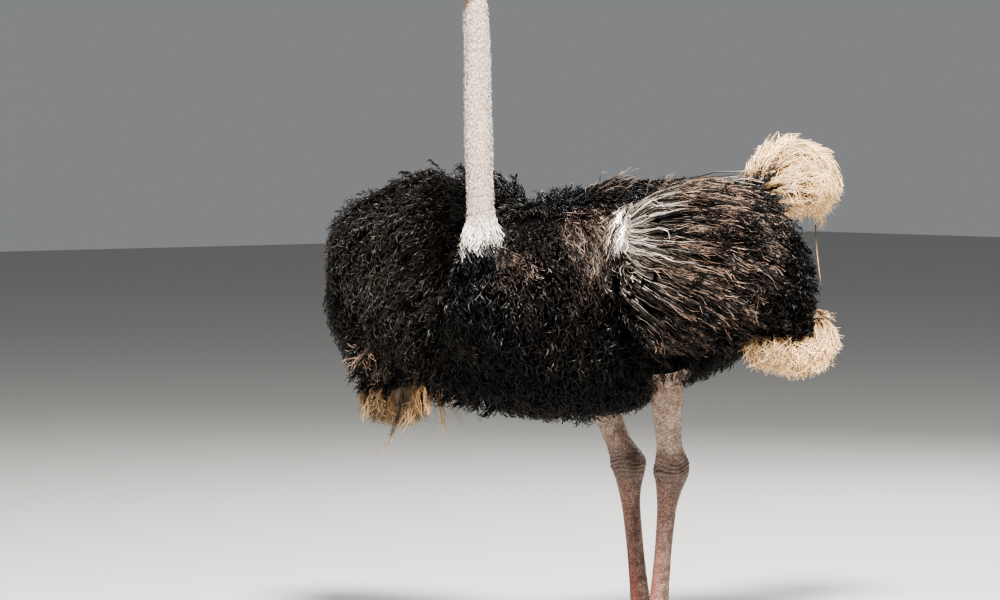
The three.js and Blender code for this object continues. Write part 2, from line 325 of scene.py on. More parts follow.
legs = {
    "left": {"thigh": (0.178, 0.135, 0.900), "knee": (0.165, 0.108, 0.790),
             "ankle": (0.119, 0.049, 0.525), "foot": (0.118, 0.097, 0.072)},
    "right": {"thigh": (-0.178, 0.120, 0.900), "knee": (-0.160, 0.095, 0.775),
              "ankle": (-0.111, 0.004, 0.523), "foot": (-0.063, -0.014, 0.072)},
}
patchLeft = at(0.300, 0.385, 1.208)  # the pale downy patch where the left wing's plumes part
sweepFrom = at(0.262, 0.300, 1.198)  # inside the body: the wing's plumes lie away from here
rootRight = at(-0.200, 0.250, 1.120)


def trunkStations():
    out = []
    for forward, high, low, wide in trunk["profile"]:
        middle = low + (high - low) * 0.54
        out.append((at(0, forward, middle), (wide, high - middle, middle - low)))
    return out


def wingStations(side):
    sign = 1 if side == "left" else -1
    return [(at(sign * out, forward, high), (thick, up, down))
            for out, forward, high, thick, up, down in wings[side]]


def placed(stations):
    return [(at(*centre), reach) for centre, reach in stations]


bodyForms = {
    "trunk": dict(stations=trunkStations(), around=96, ts=roundEnded(72), ends=(0.13, 0.16), boxy=2.4),
    "wingLeft": dict(stations=wingStations("left"), around=72, ts=roundEnded(60), ends=(0.2, 0.22), boxy=2.15,
                     clumps=(6, 0.035)),
    "wingRight": dict(stations=wingStations("right"), around=72, ts=roundEnded(60), ends=(0.2, 0.22), boxy=2.15,
                      clumps=(6, 0.035)),
    "neck": dict(stations=placed(neck["stations"]), around=64, ts=np.linspace(0, 1, 260), ends=(0.06, 0.2),
                 top=(0, -1, 0)),
    "tail": dict(stations=placed([((0, -0.20, 1.16), (0.085, 0.080, 0.080))] + tail["stations"]), around=48, ts=roundEnded(36), ends=(0.18, 0.26),
                 clumps=(5, 0.04)),
    "flightLeft": dict(stations=placed(flight["left"]), around=32, ts=roundEnded(30), ends=(0.16, 0.2)),
    "flightRight": dict(stations=placed(flight["right"]), around=32, ts=roundEnded(28), ends=(0.2, 0.25)),
}


def sweepWay(across, rise):
    # which way the left wing's plumes lie, in its upright plane, at a place measured from the patch
    across, rise = across + 0.038, rise + 0.010
    far = np.maximum(np.hypot(across, rise), 1e-4)
    return (across / far + 0.75 * smooth(0.04, 0.18, far),
            0.85 * rise / far - 0.42 * smooth(0.24, 0.46, far) - 2.3 * smooth(0.44, 0.58, far))


def ridges(p):
    # the left wing's plumes gather in locks that fan out from the patch: 1 on a crest, -1 in a furrow
    across, rise = p[:, 0] - patchLeft[0], p[:, 2] - patchLeft[2]
    far = np.hypot(across, rise)
    for _ in range(14):  # back along the lie to the edge of the patch
        vx, vz = sweepWay(across, rise)
        step = 0.045 * (np.hypot(across, rise) > 0.075) / np.hypot(vx, vz)
        across, rise = across - vx * step, rise - vz * step
    bearing = np.arctan2(rise + 0.010, across + 0.038)
    wave = np.sin(bearing * 10 + noiseAt(p, 2.2, 4) * 0.9)
    return (1 - np.abs(wave)) ** 0.7 * 2 - 1, far


def leftFolds(rings):
    p = rings.reshape(-1, 3)
    crest, far = ridges(p)
    front = smooth(0.02, -0.05, p[:, 1] - at(0, 0.215, 0)[1])
    tipIn = -0.036 * smooth(0.70, 0.80, p[:, 0] - shift.x)
    return (tipIn + 0.021 * crest * front * smooth(0.04, 0.20, far) * smooth(0.62, 0.4, far)
            + 0.010 * noiseAt(p, 8, 2) * smooth(0.1, 0.3, far))


def rightFolds(rings):
    # the outer lobe swells forward of a deep upright crease
    p = rings.reshape(-1, 3)
    left, ahead, up = p[:, 0] - shift.x, shift.y - p[:, 1], p[:, 2]
    line = -0.405 - 0.10 * smooth(1.0, 0.75, up)
    inner = left - line
    crease = np.exp(-(inner / np.where(inner > 0, 0.060, 0.022)) ** 2) * smooth(0.75, 0.9, up)
    lobe = smooth(line + 0.0, line - 0.05, left) * smooth(0.20, 0.36, ahead)
    lumps = noiseAt(p, 7.5, 9) + 0.5 * noiseAt(p, 15, 3)
    crown = smooth(1.16, 1.36, up) * smooth(-0.34, -0.44, left)
    shoulder = smooth(1.08, 1.25, up) * np.exp(-((left + 0.23) / 0.11) ** 2)
    return -0.058 * crease + 0.022 * lobe + 0.016 * lumps - 0.034 * crown + 0.045 * shoulder


def trunkFolds(rings):
    p = rings.reshape(-1, 3)
    return 0.013 * noiseAt(p * (1, 0.6, 1), 5, 3) + 0.011 * noiseAt(p, 12, 5)


def tailFolds(rings):
    p = rings.reshape(-1, 3)
    return 0.016 * noiseAt(p, 10, 6) + 0.011 * noiseAt(p, 22, 3)


coatDepth = {"trunk": trunk["coat"], "wingLeft": wings["coat"], "wingRight": wings["coat"], "tail": tail["coat"],
             "flightLeft": flight["coat"], "flightRight": flight["coat"]}
reliefs = {"trunk": trunkFolds, "wingLeft": leftFolds, "wingRight": rightFolds, "tail": tailFolds}
coatForms = {}  # the skin under each part of the plumage, before the parts are united
for name, form in bodyForms.items():
    if name != "neck":
        coatForms[name] = loftObject(name + "Form", inset=coatDepth[name], relief=reliefs.get(name), **form)


def neckCoat(up):
    # thin down above the collar, deeper soft feathers under it
    return neck["coat"] + (neck["baseCoat"] - neck["coat"]) * (1 - smooth(1.14, 1.48, up))


def neckRelief(rings):
    p = rings.reshape(-1, 3)
    turn = np.tile(np.arange(rings.shape[1]) / rings.shape[1] * 2 * np.pi, len(rings))
    creases = 0.0007 * noiseAt(p * (1, 1, 3.2), 26, 8) + 0.0011 * noiseAt(p * (1, 1, 0.5), 18, 3)
    windpipe = 0.0022 * np.exp(-((turn - np.pi / 2) / 0.5) ** 2)
    return creases + windpipe - neckCoat(p[:, 2])


coatForms["neck"] = loftObject("neckForm", relief=neckRelief, **bodyForms["neck"])
tell("body forms")

leg = {
    "scuteHeight": 0.0135,  # broad plates down the front of the shank
    "scuteDepth": 0.0016,
    "smallScale": 0.0052,
}


def legStations(side):
    pts = legs[side]
    thigh, knee, ankle, foot = (at(*pts[k]) for k in ("thigh", "knee", "ankle", "foot"))

    def bone(a, b, share):
        return a + (b - a) * share
    drumstick = [(bone(thigh, knee, -0.2), (0.105, 0.120, 0.130)), (bone(thigh, knee, 0.35), (0.112, 0.122, 0.135)),
                 (bone(thigh, knee, 0.88), (0.078, 0.086, 0.090)), (bone(knee, ankle, 0.14), (0.058, 0.062, 0.064))]
    shin = [(bone(knee, ankle, -0.1), (0.052, 0.054, 0.056)), (bone(knee, ankle, 0.35), (0.041, 0.041, 0.044)),
            (bone(knee, ankle, 0.7), (0.034, 0.034, 0.038)), (bone(knee, ankle, 0.87), (0.040, 0.039, 0.050)),
            (bone(knee, ankle, 1), (0.044, 0.045, 0.056)), (bone(ankle, foot, 0.1), (0.036, 0.035, 0.042)),
            (bone(ankle, foot, 0.24), (0.025, 0.027, 0.028)), (bone(ankle, foot, 0.5), (0.022, 0.025, 0.025)),
            (bone(ankle, foot, 0.75), (0.024, 0.028, 0.027)), (bone(ankle, foot, 0.93), (0.029, 0.033, 0.032)),
            (bone(ankle, foot, 1.02), (0.031, 0.035, 0.033)),
            (bone(ankle, foot, 1.095), (0.026, 0.030, 0.028))]
    return drumstick, shin


def shinRelief(side):
    ankleUp = legs[side]["ankle"][2]

    def relief(rings):
        p = rings.reshape(-1, 3)
        up = p[:, 2]
        turn = np.tile(np.arange(rings.shape[1]) / rings.shape[1] * 2 * np.pi, len(rings))
        front = np.cos((turn - np.pi / 2))  # 1 at the front, -1 at the back
        below = smooth(ankleUp - 0.03, ankleUp - 0.09, up)
        # broad plates, each lapping the next one down
        wave = (up + 0.0012 * noiseAt(p, 30, 2)) / leg["scuteHeight"] % 1
        plate = leg["scuteDepth"] * (0.25 + 0.75 * (1 - wave)) * smooth(0.0, 0.12, wave)
        onFront = below * smooth(0.60, 0.80, front)
        # knuckles and wrinkles round the ankle
        nearAnkle = np.exp(-((up - ankleUp) / 0.045) ** 2)
        fold = np.sin(up * 520 + 9 * noiseAt(p, 16, 5)) * 0.0008 + noiseAt(p, 55, 6) * 0.0024 + noiseAt(p, 130, 9) * 0.0012
        knuckle = 0.006 * np.exp(-(((turn - np.pi * 0.93) / 0.5) ** 2 + ((up - ankleUp + 0.004) / 0.022) ** 2))
        knuckle += 0.006 * np.exp(-(((turn - np.pi * 0.07) / 0.5) ** 2 + ((up - ankleUp + 0.004) / 0.022) ** 2))
        heel = 0.007 * np.exp(-(((turn - np.pi * 1.5) / 0.6) ** 2 + ((up - ankleUp - 0.012) / 0.03) ** 2))
        tendon = 0.003 * np.exp(-((turn - np.pi * 1.5) / 0.35) ** 2) * smooth(ankleUp + 0.05, ankleUp + 0.12, up)
        cells = noiseAt(p, 150, 7) * 0.0007
        groove = -0.0028 * np.exp(-((np.abs(turn - np.pi * 1.5) - 0.85) / 0.3) ** 2) * below
        return (plate * onFront + fold * nearAnkle + knuckle + heel + tendon + groove
                + cells * (1 - onFront) * (1 - nearAnkle))
    return relief


toes = {
    "big": {"turn": 2, "stations": [(-24, 44, 27, 22, 26), (16, 40, 31, 28, 38), (70, 29, 32, 22, 34),
                                    (122, 24, 30, 18, 29), (176, 19, 20, 13, 22)]},
    "small": {"turn": 32, "stations": [(6, 36, 20, 20, 22), (38, 27, 22, 18, 29), (76, 20, 20, 14, 24),
                                       (106, 14, 12, 9, 17)]},
    "clawBig": {"turn": 2, "stations": [(158, 20, 12, 9, 10), (178, 19, 13, 8, 12), (200, 13, 10, 6, 11),
                                        (222, 5, 5, 3, 4)]},
    "clawSmall": {"turn": 32, "stations": [(96, 14, 8, 6, 7), (106, 13, 8, 5, 8), (121, 5, 4, 3, 4)]},
}


def toeStations(side, kind):
    sign = 1 if side == "left" else -1
    x, forward, _ = legs[side]["foot"]
    turn = math.radians(toes[kind]["turn"]) * sign
    return [(at(x + math.sin(turn) * far / 1000, forward + math.cos(turn) * far / 1000, up / 1000),
             (wide / 1000, high / 1000, low / 1000)) for far, up, wide, high, low in toes[kind]["stations"]]


def toeRelief(side, kind):
    start = at(*legs[side]["foot"])
    knuckles = (0.048, 0.098, 0.140) if kind == "big" else (0.042, 0.075)

    def relief(rings):
        p = rings.reshape(-1, 3)
        turn = np.tile(np.arange(rings.shape[1]) / rings.shape[1] * 2 * np.pi, len(rings))
        far = np.linalg.norm(p[:, :2] - start[:2], axis=1)
        topSide = np.sin(turn)
        wave = (far + 0.0008 * noiseAt(p, 40, 2)) / 0.0088 % 1
        plate = 0.0014 * (0.3 + 0.7 * wave) * smooth(1.0, 0.88, wave) * smooth(0.45, 0.7, topSide)
        lumps = sum(0.0022 * np.exp(-((far - k) / 0.011) ** 2) for k in knuckles)
        creases = -sum(0.0024 * np.exp(-((far - k - 0.020) / 0.0045) ** 2) for k in knuckles) * smooth(0.3, -0.4, topSide)
        grain = noiseAt(p, 170, 4) * 0.0007
        return plate + lumps + creases + grain
    return relief


def flattened(piece):
    # the pads rest flat on the floor
    co = coords(piece.data)
    co[:, 2] = np.maximum(co[:, 2], 0.0)
    setCoords(piece.data, co)
    return piece


def softened(piece, centre, reach, rounds):
    # evens out the join of two forms round a point, as the hide over it does
    mesh = piece.data
    co = coords(mesh)
    ends = np.empty(len(mesh.edges) * 2, int)
    mesh.edges.foreach_get("vertices", ends)
    a, b = ends.reshape(-1, 2).T
    beside = np.bincount(ends, minlength=len(co))[:, None]
    share = 0.6 * np.exp(-np.sum((co - centre) ** 2, 1) / reach ** 2)[:, None]
    for _ in range(rounds):
        total = np.zeros_like(co)
        np.add.at(total, a, co[b])
        np.add.at(total, b, co[a])
        co += share * (total / beside - co)
    setCoords(mesh, co)
    return piece


skinParts = []
for side in ("left", "right"):
    drumstick, shin = legStations(side)
    coatForms["thigh" + side.title()] = loftObject("thigh" + side, drumstick, inset=0.020, around=48,
                                                   ts=roundEnded(30), top=(0, -1, 0), ends=(0.2, 0.24))
    shinRings = np.concatenate([np.linspace(0, 0.5, 120, endpoint=False), np.linspace(0.5, 1, 170)])
    shank = loftObject("shin" + side, shin, relief=shinRelief(side), around=52, ts=shinRings, top=(0, -1, 0),
                       ends=(0.05, 0.06))
    big = loftObject("bigToe" + side, toeStations(side, "big"), relief=toeRelief(side, "big"), around=44,
                     ts=np.linspace(0, 1, 100), ends=(0.12, 0.16), boxy=2.2)
    small = loftObject("smallToe" + side, toeStations(side, "small"), relief=toeRelief(side, "small"), around=36,
                       ts=np.linspace(0, 1, 64), ends=(0.12, 0.16), boxy=2.2)
    lowest = [flattened(p) for p in (big, small)]
    x, forward, _ = legs[side]["foot"]
    skinParts.append(flattened(softened(united(shank, lowest), at(x, forward, 0.062), 0.034, 24)))
tell("legs")

head = {
    "eyeRadius": 0.022,
    "eyeOut": 0.025,
    "lidGap": 0.0150,  # half the height of the opening between the lids
    "voxel": 0.0016,
}


def ballObject(name, centre, reach, turned=(0, 0, 0), detail=32):
    u = np.linspace(0, np.pi, detail + 1)[1:-1]
    v = 2 * np.pi * np.arange(detail * 2) / (detail * 2)
    ring = np.stack([np.sin(u)[:, None] * np.cos(v), np.sin(u)[:, None] * np.sin(v),
                     np.broadcast_to(np.cos(u)[:, None], (len(u), len(v)))], -1)
    spin = np.array(Quaternion((1, 0, 0), turned[0]).to_matrix() @ Quaternion((0, 1, 0), turned[1]).to_matrix()
                    @ Quaternion((0, 0, 1), turned[2]).to_matrix())
    pts = np.vstack([[[0, 0, 1]], ring.reshape(-1, 3), [[0, 0, -1]]]) * np.asarray(reach)
    piece = meshObject(name, pts @ spin.T + centre, loftFaces(len(u), len(v)))
    if signedVolume(piece.data) < 0:
        piece.data.flip_normals()
    return piece


def eyeFrame(sign):
    # outward, forward and upward for one eye; the eyes look a little forward
    out = unit(np.array((sign * 1.0, -0.22, 0.03)))
    ahead = unit(np.array((0, -1, -math.tan(nod))) - out * np.dot((0, -1, -math.tan(nod)), out))
    return out, ahead, np.cross(ahead, out) * sign


def lidObject(sign):
    # a rim of thick skin round an almond opening, over the eyeball
    centre = headAt(0.006, 0.005, sign * head["eyeOut"])
    out, ahead, up = eyeFrame(sign)
    around, bands = 72, 12
    radius = head["eyeRadius"]
    outer, inner = [], []
    for i in range(bands):
        share = i / (bands - 1)
        for j in range(around):
            a = 2 * np.pi * j / around
            openX = 0.0188
            openY = head["lidGap"] * (1.02 if math.sin(a) > 0 else 0.98)
            edge = math.hypot(openX * math.cos(a), openY * math.sin(a))
            polar = math.asin(min(0.999, edge / (radius + 0.0012)))
            polar = polar + (1.50 - polar) * share
            lip = 0.0022 * math.exp(-(share / 0.13) ** 2) + 0.0006 * math.sin(share * 16)
            r = radius + 0.0021 + lip
            way = math.cos(polar) * out + math.sin(polar) * (math.cos(a) * ahead + math.sin(a) * up)
            outer.append(centre + way * r)
            inner.append(centre + way * (radius - 0.0015))
    faces = []
    count = around * bands
    for i in range(bands - 1):
        for j in range(around):
            k = (j + 1) % around
            a, b, c, d = i * around + j, i * around + k, (i + 1) * around + k, (i + 1) * around + j
            faces.append((a, b, c, d))
            faces.append((count + d, count + c, count + b, count + a))
    for j in range(around):
        k = (j + 1) % around
        faces.append((j, count + j, count + k, k))
        a, b = (bands - 1) * around + j, (bands - 1) * around + k
        faces.append((a, b, count + b, count + a))
    piece = meshObject("lids", np.array(outer + inner), faces)
    if signedVolume(piece.data) < 0:
        piece.data.flip_normals()
    return piece


skull = loftObject("skull", [
    (headAt(-0.062, -0.003), (0.022, 0.024, 0.026)), (headAt(-0.038, -0.001), (0.0325, 0.0325, 0.0345)),
    (headAt(-0.010, 0.001), (0.0355, 0.0355, 0.0375)), (headAt(0.014, 0.000), (0.0335, 0.0325, 0.0335)),
    (headAt(0.038, -0.005), (0.0295, 0.0205, 0.0215)), (headAt(0.060, -0.010), (0.0275, 0.0120, 0.0145))],
    around=64, ts=roundEnded(50), ends=(0.34, 0.16))
headBits = [skull]
for sign in (1, -1):
    headBits.append(ballObject("orbit", headAt(0.005, 0.005, sign * 0.0295), (0.0095, 0.0300, 0.0272)))
    headBits.append(ballObject("brow", headAt(0.002, 0.0262, sign * 0.0255), (0.0095, 0.021, 0.0058), (0, sign * 0.35, 0)))
    headBits.append(ballObject("cheek", headAt(-0.016, -0.018, sign * 0.0275), (0.0095, 0.023, 0.014)))
    headBits.append(ballObject("jaw", headAt(0.030, -0.021, sign * 0.0230), (0.0080, 0.026, 0.0075)))
    headBits.append(ballObject("earRim", headAt(-0.033, -0.008, sign * 0.0315), (0.0040, 0.0085, 0.0095)))
    headBits.append(lidObject(sign))
headBits.append(ballObject("throat", headAt(-0.020, -0.030), (0.024, 0.034, 0.015)))
headSkin = remeshed(joined("headBits", headBits), head["voxel"], 3)


def headRelief(p, n):
    # the corner of the mouth, folds under the eye, and a soft hollow before it
    rel = p - headAt(0)
    back = np.array((0, 1, math.tan(nod))) / math.hypot(1, math.tan(nod))
    ahead = -(rel @ back)
    upward = rel @ np.cross(back, (1, 0, 0)) * np.sign(np.cross(back, (1, 0, 0))[2])
    out = np.abs(rel[:, 0])
    gape = -0.0125 - 0.22 * np.clip(0.036 - ahead, 0, 1) ** 1.1
    height = -0.0022 * np.exp(-((upward - gape) / 0.0016) ** 2) * smooth(-0.008, 0.004, ahead) * smooth(0.05, 0.04, ahead)
    height += 0.0012 * np.exp(-((upward - gape + 0.0042) / 0.0024) ** 2) * smooth(-0.010, 0.006, ahead)
    hollow = np.exp(-(((ahead - 0.036) / 0.010) ** 2 + ((upward - 0.001) / 0.008) ** 2))
    height -= 0.0022 * hollow * smooth(0.010, 0.02, out)
    ring = np.hypot(ahead - 0.006, (upward - 0.005) * 1.15)
    for k, r in enumerate((0.0285, 0.0325, 0.0365)):
        height -= (0.0009 - 0.0002 * k) * np.exp(-((ring - r) / 0.0011) ** 2) * smooth(0.006, -0.004, upward) \
            * smooth(0.015, 0.022, out)
    height += 0.0005 * noiseAt(p, 190, 3) + 0.0005 * noiseAt(p, 90, 4)
    return height


headPlaces = coords(headSkin.data)
setCoords(headSkin.data, headPlaces + vertexNormals(headSkin.data)
          * headRelief(headPlaces, vertexNormals(headSkin.data))[:, None])
bites = []
for sign in (1, -1):
    bites.append(ballObject("socket", headAt(0.006, 0.005, sign * head["eyeOut"]),
                            np.full(3, head["eyeRadius"] + 0.0003)))
    bites.append(ballObject("earHole", headAt(-0.033, -0.008, sign * 0.0370), (0.0070, 0.0048, 0.0058), detail=16))
headSkin = minus(headSkin, bites)
tell(f"head skin {len(headSkin.data.polygons)} faces")

surfaces = {}  # each form as drawn, to set plumes on: points, normals, triangles, corner places on its unwrap, tree
for name, piece in coatForms.items():
    mesh = piece.data
    co, normals = coords(mesh), vertexNormals(mesh)
    around = {"trunk": 96, "neck": 64, "tail": 48, "thighLeft": 48, "thighRight": 48, "flightLeft": 32,
              "flightRight": 32}.get(name, 72)
    rows = (len(co) - 2) // around
    tris, places = [], []
    for face in mesh.polygons:
        v = list(face.vertices)
        uv = []
        for k in v:
            ring, column = ((k - 1) // around + 1, (k - 1) % around) if 0 < k < len(co) - 1 else (0 if k == 0 else rows + 1, None)
            uv.append([column, ring / (rows + 1)])
        known = [c for c, _ in uv if c is not None]
        wraps = max(known) - min(known) > around / 2
        for pair in uv:
            if pair[0] is None:
                pair[0] = known[0]
            if wraps and pair[0] < around / 2:
                pair[0] += around
            pair[0] /= around
        for a, b, c in ((0, 1, 2), (0, 2, 3))[:len(v) - 2]:
            tris.append((v[a], v[b], v[c]))
            places.append((uv[a], uv[b], uv[c]))
    surfaces[name] = {
        "co": co, "normals": normals, "tris": np.array(tris), "places": np.array(places),
        "tree": BVHTree.FromPolygons([tuple(v) for v in co], [tuple(f.vertices) for f in mesh.polygons]),
    }
mesh = headSkin.data
mesh.calc_loop_triangles()
tri = np.empty(len(mesh.loop_triangles) * 3, int)
mesh.loop_triangles.foreach_get("vertices", tri)
headCo = coords(mesh)
around = np.arctan2(headCo[:, 0] - shift.x, -(headCo[:, 1] - headAt(0)[1])) / (2 * np.pi) + 0.5
headPlace = np.stack([around, (headCo[:, 2] - headCo[:, 2].min()) / np.ptp(headCo[:, 2])], 1)
surfaces["head"] = {
    "co": headCo, "normals": vertexNormals(mesh), "tris": tri.reshape(-1, 3), "places": headPlace[tri.reshape(-1, 3)],
    "tree": BVHTree.FromPolygons([tuple(v) for v in headCo], [tuple(f.vertices) for f in mesh.polygons]),
}
skin = united(coatForms["trunk"], [coatForms[k] for k in coatForms if k != "trunk"] + skinParts + [headSkin])
skin.name = "skin"
skinTree = BVHTree.FromPolygons([tuple(v) for v in coords(skin.data)], [tuple(f.vertices) for f in skin.data.polygons])
tell(f"one skin {len(skin.data.polygons)} faces")


def birdPlaces(p):
    return p[:, 0] - shift.x, shift.y - p[:, 1], p[:, 2]


def bump(p, centre, radius):
    return np.exp(-np.sum((p - centre) ** 2, 1) / radius ** 2)


def patchShare(p):
    # 1 on the patch: a narrow upright crescent
    across = (p[:, 0] - patchLeft[0]) + 0.6 * np.abs(p[:, 2] - patchLeft[2]) ** 1.5
    return np.exp(-(across / 0.026) ** 2 - ((p[:, 2] - patchLeft[2]) / 0.046) ** 2) * (p[:, 1] < patchLeft[1] + 0.12)


def markings(p, form=""):
    # pale: white to cream; warm: brown; the same on skin and plumes. Some of it is painted light: highlights on the
    # right wing's outer lobe and the left wing's lock crests, painted shade under the left wing's end and under the
    # tail. The left flight plumes are cream all over; the right ones are tan, partly their own colour, partly painted
    # shade
    left, ahead, up = birdPlaces(p)
    wander = noiseAt(p, 9, 12)
    tailPale = smooth(-0.362, -0.395, ahead + 0.012 * wander) * smooth(1.13, 1.19, up)
    # the right flight plumes are tan: partly their own tan, partly painted shade under the wing
    flight = {"flightLeft": 1.0, "flightRight": 0.24}.get(form, 0.0)
    if form == "quills":
        flight = 0.56 * smooth(0.36, 0.06, np.hypot(p[:, 0] - patchLeft[0], p[:, 2] - patchLeft[2]))
    offNeck = np.hypot(left, ahead - 0.630)
    onNeck = form in ("neck", "")
    collar = smooth(1.176, 1.220, up + 0.016 * wander + 0.026 * noiseAt(p, 80, 4)) * (offNeck < 0.085) * onNeck
    crest, far = ridges(p)
    patch = patchShare(p)
    if form == "combed":  # the long plumes under the patch are dark to their roots
        patch = patch * (1 - 0.85 * smooth(1.205, 1.155, up))
    streaks = 0.42 * onNeck * smooth(1.11, 1.17, up) * (offNeck < 0.10) * smooth(0.1, 0.35, noiseAt(p * (1, 1, 0.18), 75, 21))
    pale = np.clip(tailPale + flight + collar + streaks + patch, 0, 1)
    onWing = smooth(0.285, 0.32, left)
    # the left wing's locks are browner on their crests and darker in their furrows: partly the plumes' own brown,
    # partly painted highlight on the crests and painted shade in the furrows
    combed = 0.84 * onWing * smooth(0.33, 0.06, far) * np.clip(0.35 + 0.65 * crest, 0, 1)
    combed *= 0.14 + 0.86 * smooth(1.09, 1.20, up)
    # pale on the crests near the patch: partly the pale quill ribs, partly painted highlight
    paleCrestsAndHighlight = 0.52 * onWing * smooth(0.22, 0.05, far) * smooth(1.08, 1.18, up) * np.clip(crest - 0.1, 0, 1)
    pale = np.clip(pale + paleCrestsAndHighlight, 0, 1)
    # the flight plumes under the left wing's end are browner and less pale: partly their own tan, partly painted shade
    # under the wing
    tanAndShadeUnderWing = bump(p, at(0.67, 0.185, 0.905), 0.075) * (form == "flightLeft")
    pale = pale * (1 - 0.6 * tanAndShadeUnderWing)
    shoulder = 0.42 * bump(p, at(0.21, 0.40, 1.21), 0.12) * smooth(0.05, 0.13, left)
    besideNeck = 0.8 * bump(p, at(0.115, 0.60, 1.140), 0.034)
    # painted highlight: the right wing's outer lobe is browner where the light falls on it
    lobe = 0.10 * bump(p, at(-0.56, 0.44, 1.12), 0.26)
    curlTip = 0.9 * bump(p, at(-0.66, 0.46, 0.86), 0.045)
    # painted highlight: a faint grey sheen over the right wing's outer lobe
    pale = np.clip(pale + 0.024 * bump(p, at(-0.60, 0.46, 1.10), 0.22), 0, 1)
    # the tail is browner underneath: partly its own brown, partly painted shade
    tanAndShadeUnderTail = 0.9 * bump(p, at(0.05, -0.66, 1.20), 0.085) * (form == "tail")
    warm = np.clip(shoulder + besideNeck + combed + lobe + tanAndShadeUnderTail + tanAndShadeUnderWing + curlTip + 0.03
                   + 0.12 * wander, 0, 1)
    return pale, warm


plumage = {
    "spacing": 0.0215,      # between the roots of the curly plumes
    "tipSpacing": 0.0165,   # between those on the outer end of the left wing
    "baseSpacing": 0.0140,  # between those at the foot of the neck
    "collarSpacing": 0.0085,
    "downSpacing": 0.0047,
    "headSpacing": 0.0042,
    "bristleSpacing": 0.0075,
}


def sampled(name, spacing, seed, keep=None):
    # evenly spread points on one form, where no other form covers it
    s = surfaces[name]
    rng = np.random.default_rng(seed)
    a, b, c = (s["co"][s["tris"][:, k]] for k in range(3))
    area = np.linalg.norm(np.cross(b - a, c - a), axis=1) / 2
    count = int(area.sum() / spacing ** 2 * 5)
    pick = rng.choice(len(area), count, p=area / area.sum())
    r1, r2 = np.sqrt(rng.random(count)), rng.random(count)
    w = np.stack([1 - r1, r1 * (1 - r2), r1 * r2], 1)
    p = np.einsum("ij,ijk->ik", w, s["co"][s["tris"][pick]])
    n = unit(np.einsum("ij,ijk->ik", w, s["normals"][s["tris"][pick]]))
    uv = np.einsum("ij,ijk->ik", w, s["places"][pick])
    chosen, cells = [], {}
    allowed = np.ones(count, bool) if keep is None else keep(p, n)
    size = spacing * 0.86
    for i in np.flatnonzero(allowed):
        q = p[i]
        cell = (int(q[0] // size), int(q[1] // size), int(q[2] // size))
        near = False
        for dx in (-1, 0, 1):
            for dy in (-1, 0, 1):
                for dz in (-1, 0, 1):
                    for j in cells.get((cell[0] + dx, cell[1] + dy, cell[2] + dz), ()):
                        d = p[j] - q
                        if d[0] * d[0] + d[1] * d[1] + d[2] * d[2] < size * size:
                            near = True
        if not near:
            cells.setdefault(cell, []).append(i)
            chosen.append(i)
    kept = []
    for i in chosen:
        covered = False
        for other, t in surfaces.items():
            if other == name:
                continue
            hit, normal, _, far = t["tree"].find_nearest(Vector(p[i]))
            if hit is not None and (Vector(p[i]) - hit).dot(normal) < -0.004:
                covered = True
                break
        if not covered:
            kept.append(i)
    uv[:, 0] %= 1
    return {"at": p[kept], "outward": n[kept], "place": uv[kept]}


def tangent(v, n):
    return unit(v - n * np.sum(v * n, 1, keepdims=True) + 1e-6)


def turned(lie, n, angle):
    return lie * np.cos(angle)[:, None] + np.cross(n, lie) * np.sin(angle)[:, None]


def trunkFlow(p, n):
    left, ahead, up = birdPlaces(p)
    v = np.zeros_like(p)
    v[:, 1] = 0.85 - 0.75 * smooth(0.20, 0.45, ahead)
    v[:, 2] = -0.55 - 0.5 * smooth(1.15, 0.85, up) - 0.3 * smooth(0.2, 0.45, ahead)
    v[:, 0] = np.sign(left) * 0.25 * smooth(1.2, 1.32, up)
    return v


def leftWingFlow(p, n):
    # back and out from the patch, drooping further off; straight down on the shoulder side of it
    far = np.linalg.norm(p - sweepFrom, axis=1)
    vx, vz = sweepWay(p[:, 0] - patchLeft[0], p[:, 2] - patchLeft[2])
    v = np.stack([vx, 0.75 * smooth(0.05, 0.18, far), vz], 1)
    hang = smooth(0.018, -0.03, p[:, 0] - patchLeft[0])[:, None]
    return v * (1 - hang) + np.array((-0.15, -0.1, -1.0)) * hang


def rightWingFlow(p, n):
    away = p - rootRight
    far = np.linalg.norm(away, axis=1)
    v = away / far[:, None] * (1, 0.5, 1)
    v[:, 2] -= 0.7 * smooth(0.05, 0.35, far) + 0.9 * smooth(0.35, 0.6, far)
    return v


def downFlow(p, n):
    v = np.zeros_like(p)
    v[:, 2] = -1
    return v


def tailFlow(p, n):
    away = p - at(0, -0.33, 1.24)
    v = unit(away)
    v[:, 2] -= 0.20 + 2.3 * smooth(0.17, 0.33, np.linalg.norm(away, axis=1))
    return v


def flightFlow(p, n):
    v = np.zeros_like(p)
    left, _, up = birdPlaces(p)
    outer = smooth(0.70, 0.80, np.abs(left))
    v[:, 0] = (0.05 + 0.12 * outer) * np.sign(left)
    v[:, 1] = 0.25
    v[:, 2] = -1
    return v


def headFlow(p, n):
    v = np.zeros_like(p)
    v[:, 1] = 1.0
    v[:, 2] = -0.25 - 0.6 * smooth(0.02, -0.03, p[:, 2] - headAt(0)[2])
    return v


flows = {"trunk": trunkFlow, "wingLeft": leftWingFlow, "wingRight": rightWingFlow, "neck": downFlow,
         "tail": tailFlow, "flightLeft": flightFlow, "flightRight": flightFlow,
         "thighLeft": downFlow, "thighRight": downFlow, "head": headFlow}


